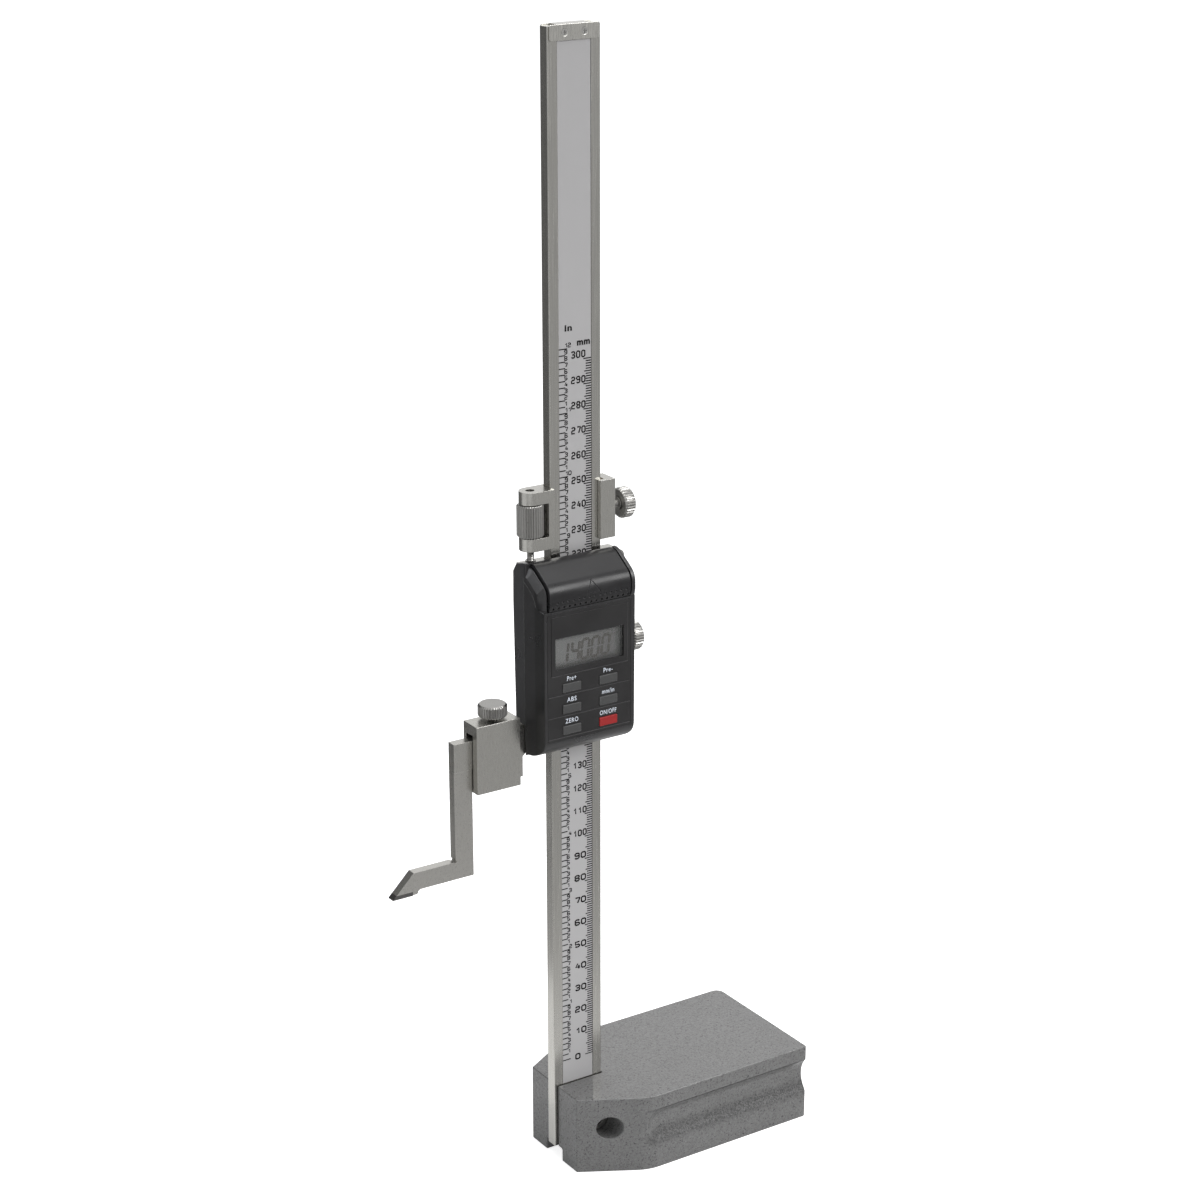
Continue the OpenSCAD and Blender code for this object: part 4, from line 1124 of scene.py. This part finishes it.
for template in (*wide.values(), *slim.values(), *small.values()):
    bpy.data.objects.remove(template)
dress(numerals, scale_ink, "scale_enamel", body="stand")

# %% [markdown]
# ## The display
# A liquid crystal shows each digit with seven segments, slanted a little. One
# segment is a stretched six-sided plate, copied into its seven places. Which of
# them a digit lights is written as a string of letters, a to g, clockwise from
# the top with g in the middle.

# %% Seven-segment reading
SEGMENTS = {"0": "abcdef", "1": "bc", "4": "bcfg"}
digit_w, digit_h, seg_w = 3.2, 7.8, 1.45
rim = 0.95
lens_low, lens_high, lens_middle = box_mm("display_lens")
window_x, window_top = lens_low[0] + rim, lens_high[2] - rim
glass_y = box_mm("lcd_module")[0][1]


def segment(length):
    put_down()
    bpy.ops.mesh.primitive_circle_add(vertices=6, radius=seg_w / 2 * MM, fill_type="NGON")
    bar = bpy.context.active_object
    bar.data.transform(Matrix.Rotation(math.radians(30), 4, "Z"))
    for side in (-1, 1):
        choose(bar, "edges", lambda e, p: all(v.x * side > 0.1 * MM for v in p))
        bpy.ops.transform.translate(value=(side * (length - seg_w) / 2 * MM, 0, 0))
        leave_edit()
    ink_sliver(bar)
    return bar


level = segment(digit_w - 0.1)
upright = segment(digit_h / 2 - 0.2)
upright.data.transform(Matrix.Rotation(math.radians(90), 4, "Z"))
spots = {"a": (0.5, 1.0, level), "b": (1.0, 0.75, upright), "c": (1.0, 0.25, upright),
         "d": (0.5, 0.0, level), "e": (0.0, 0.25, upright), "f": (0.0, 0.75, upright),
         "g": (0.5, 0.5, level)}
slant = Matrix.Identity(4)
slant[0][1] = math.tan(math.radians(6))
reading = []
for char, x in (("1", 3.3), ("4", 8.5), ("0", 13.05), ("0", 17.8), ("0", 22.6)):
    for letter in SEGMENTS[char]:
        across, up, source = spots[letter]
        copy = new_object("segment", source.data.copy())
        shift(copy, across * digit_w, up * digit_h, 0)
        copy.data.transform(slant)
        shift(copy, x, 0, 0)
        reading.append(copy)
bpy.data.objects.remove(level)
bpy.data.objects.remove(upright)
put_down()
bpy.ops.mesh.primitive_cylinder_add(vertices=12, radius=0.45 * MM, depth=INK * MM,
                                    location=(16.9 * MM, 0, INK / 2 * MM))
bpy.ops.object.transform_apply(location=True)
reading.append(bpy.context.active_object)
lcd = join(reading, "lcd_reading")
lcd.data.transform(UPRIGHT)
shift(lcd, window_x, glass_y, window_top - 3.3 - digit_h)
dress(lcd, lcd_ink, "lcd_glass", body="slider")
unit = words("mm", 1.7, 0.04)
shift(unit, window_x + 27.1, glass_y, window_top - 4.0)
unit.name = "lcd_unit"
dress(unit, lcd_ink, "lcd_glass", body="slider")

# %% [markdown]
# ## Key legends and panel lines
# The legends are printed on the film, one over each key. Pale lines frame the
# display and part the rows of keys; their pale tone is a painted highlight of the
# panel's thin raised rims.

# %% Legends and lines
panel_low, panel_high, _ = box_mm("front_panel")
panel_face = panel_low[1]
legends = []
for text, width, key in (("Pre+", 4.3, "preset_plus"), ("Pre-", 4.3, "preset_minus"),
                         ("ABS", 4.4, "abs"), ("mm/in", 5.7, "unit"), ("ZERO", 5.9, "zero"),
                         ("ON/OFF", 7.8, "power")):
    low, high, center = box_mm(key + "_button")
    label = fitted_words(text, width, 1.9, 0.0)
    shift(label, center[0] - width_mm(label) / 2, panel_face, high[2] + 0.45)
    legends.append(label)
dress(join(legends, "key_legends"), legend_ink, "panel_film", body="slider")


def pale_line(x0, x1, z0, z1):
    """A thin line that lies in one of the panel's grooves."""
    put_down()
    bpy.ops.mesh.primitive_cube_add(size=1.0)
    line = bpy.context.active_object
    line.data.transform(Matrix.Diagonal(((x1 - x0) * MM, 0.12 * MM, (z1 - z0) * MM, 1)))
    shift(line, (x0 + x1) / 2, panel_face + 0.11, (z0 + z1) / 2)
    return line


line_w = 0.15
low_edge, high_edge = lens_middle[2] - 9.05, lid_low[2] - 2.4
left_edge, right_edge = lens_middle[0] - 17.95, lens_middle[0] + 17.8
lines = [pale_line(left_edge, right_edge + line_w, low_edge, low_edge + line_w),
         pale_line(right_edge, right_edge + line_w, low_edge + 0.2, high_edge - 0.05)]
for row in range(3):
    z = box_mm("zero_button")[2][2] - 2.95 + row * 8.85
    lines.append(pale_line(panel_low[0] + 0.4, panel_high[0] - 0.4, z, z + line_w))
dress(join(lines, "panel_lines"), line_highlight, "panel_film", body="slider")

# %% [markdown]
# ## Finishes for the pieces that stay as they are
# The small parts inside and behind, such as gibs, boards, screws and the cell, are
# plain shapes in CAD too. They keep their CAD meshes and get real finishes.

# %% Materials on CAD nodes
finishes = {
    enamel: "scale_strip", lens: "display_lens", lcd_face: "lcd_module",
    screw_steel: "end_stop_screws gib_screws housing_screws board_screws",
    brass: "carriage_gib slider_gib", black_plastic: "housing_back pin_header",
    rubber: "contact_strips keypad", board: "main_board sensor_board",
    cell_steel: "battery_cell battery_contact_rear battery_contact_side"}
for material, names in finishes.items():
    for node in names.split():
        for material_slot in nodes[node].material_slots:
            material_slot.material = material
print("finished CAD nodes:", sum(len(names.split()) for names in finishes.values()))

# %% [markdown]
# ## The floor
# The gauge stands on a pale sheet that runs out of the picture. Its own colour
# takes the soft shadow, and a glow for the camera's rays lifts the rest to white.
# Mirror-like rays see a quarter of that glow, and matt surfaces aren't lit by it.

# %% Floor
put_down()
bpy.ops.mesh.primitive_plane_add(size=12, location=(0, 0, -0.0001))
floor = bpy.context.active_object
floor.name = "floor"
paper, tree, shader = new_material("paper", 0.0, 0.9, (0.8, 0.8, 0.8))
shader.inputs["Specular IOR Level"].default_value = 0.0
rays = add_node(tree, "ShaderNodeLightPath").outputs
seen = calc("MAXIMUM", rays["Is Camera Ray"], rays["Is Transmission Ray"])
glow = add_node(tree, "ShaderNodeMath", {0: seen, 1: 0.8, 2: product(rays["Is Glossy Ray"], 0.2)},
                operation="MULTIPLY_ADD")
shader.inputs["Emission Color"].default_value = (1, 1, 1, 1)
feed(shader.inputs["Emission Strength"], glow.outputs[0])
floor.data.materials.append(paper)
floor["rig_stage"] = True
print("floor in m:", round(floor.dimensions.x, 1))

# %% [markdown]
# ## The size after dressing
# Dressing must not change the size.

# %% Measure the dressed scene
low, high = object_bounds()
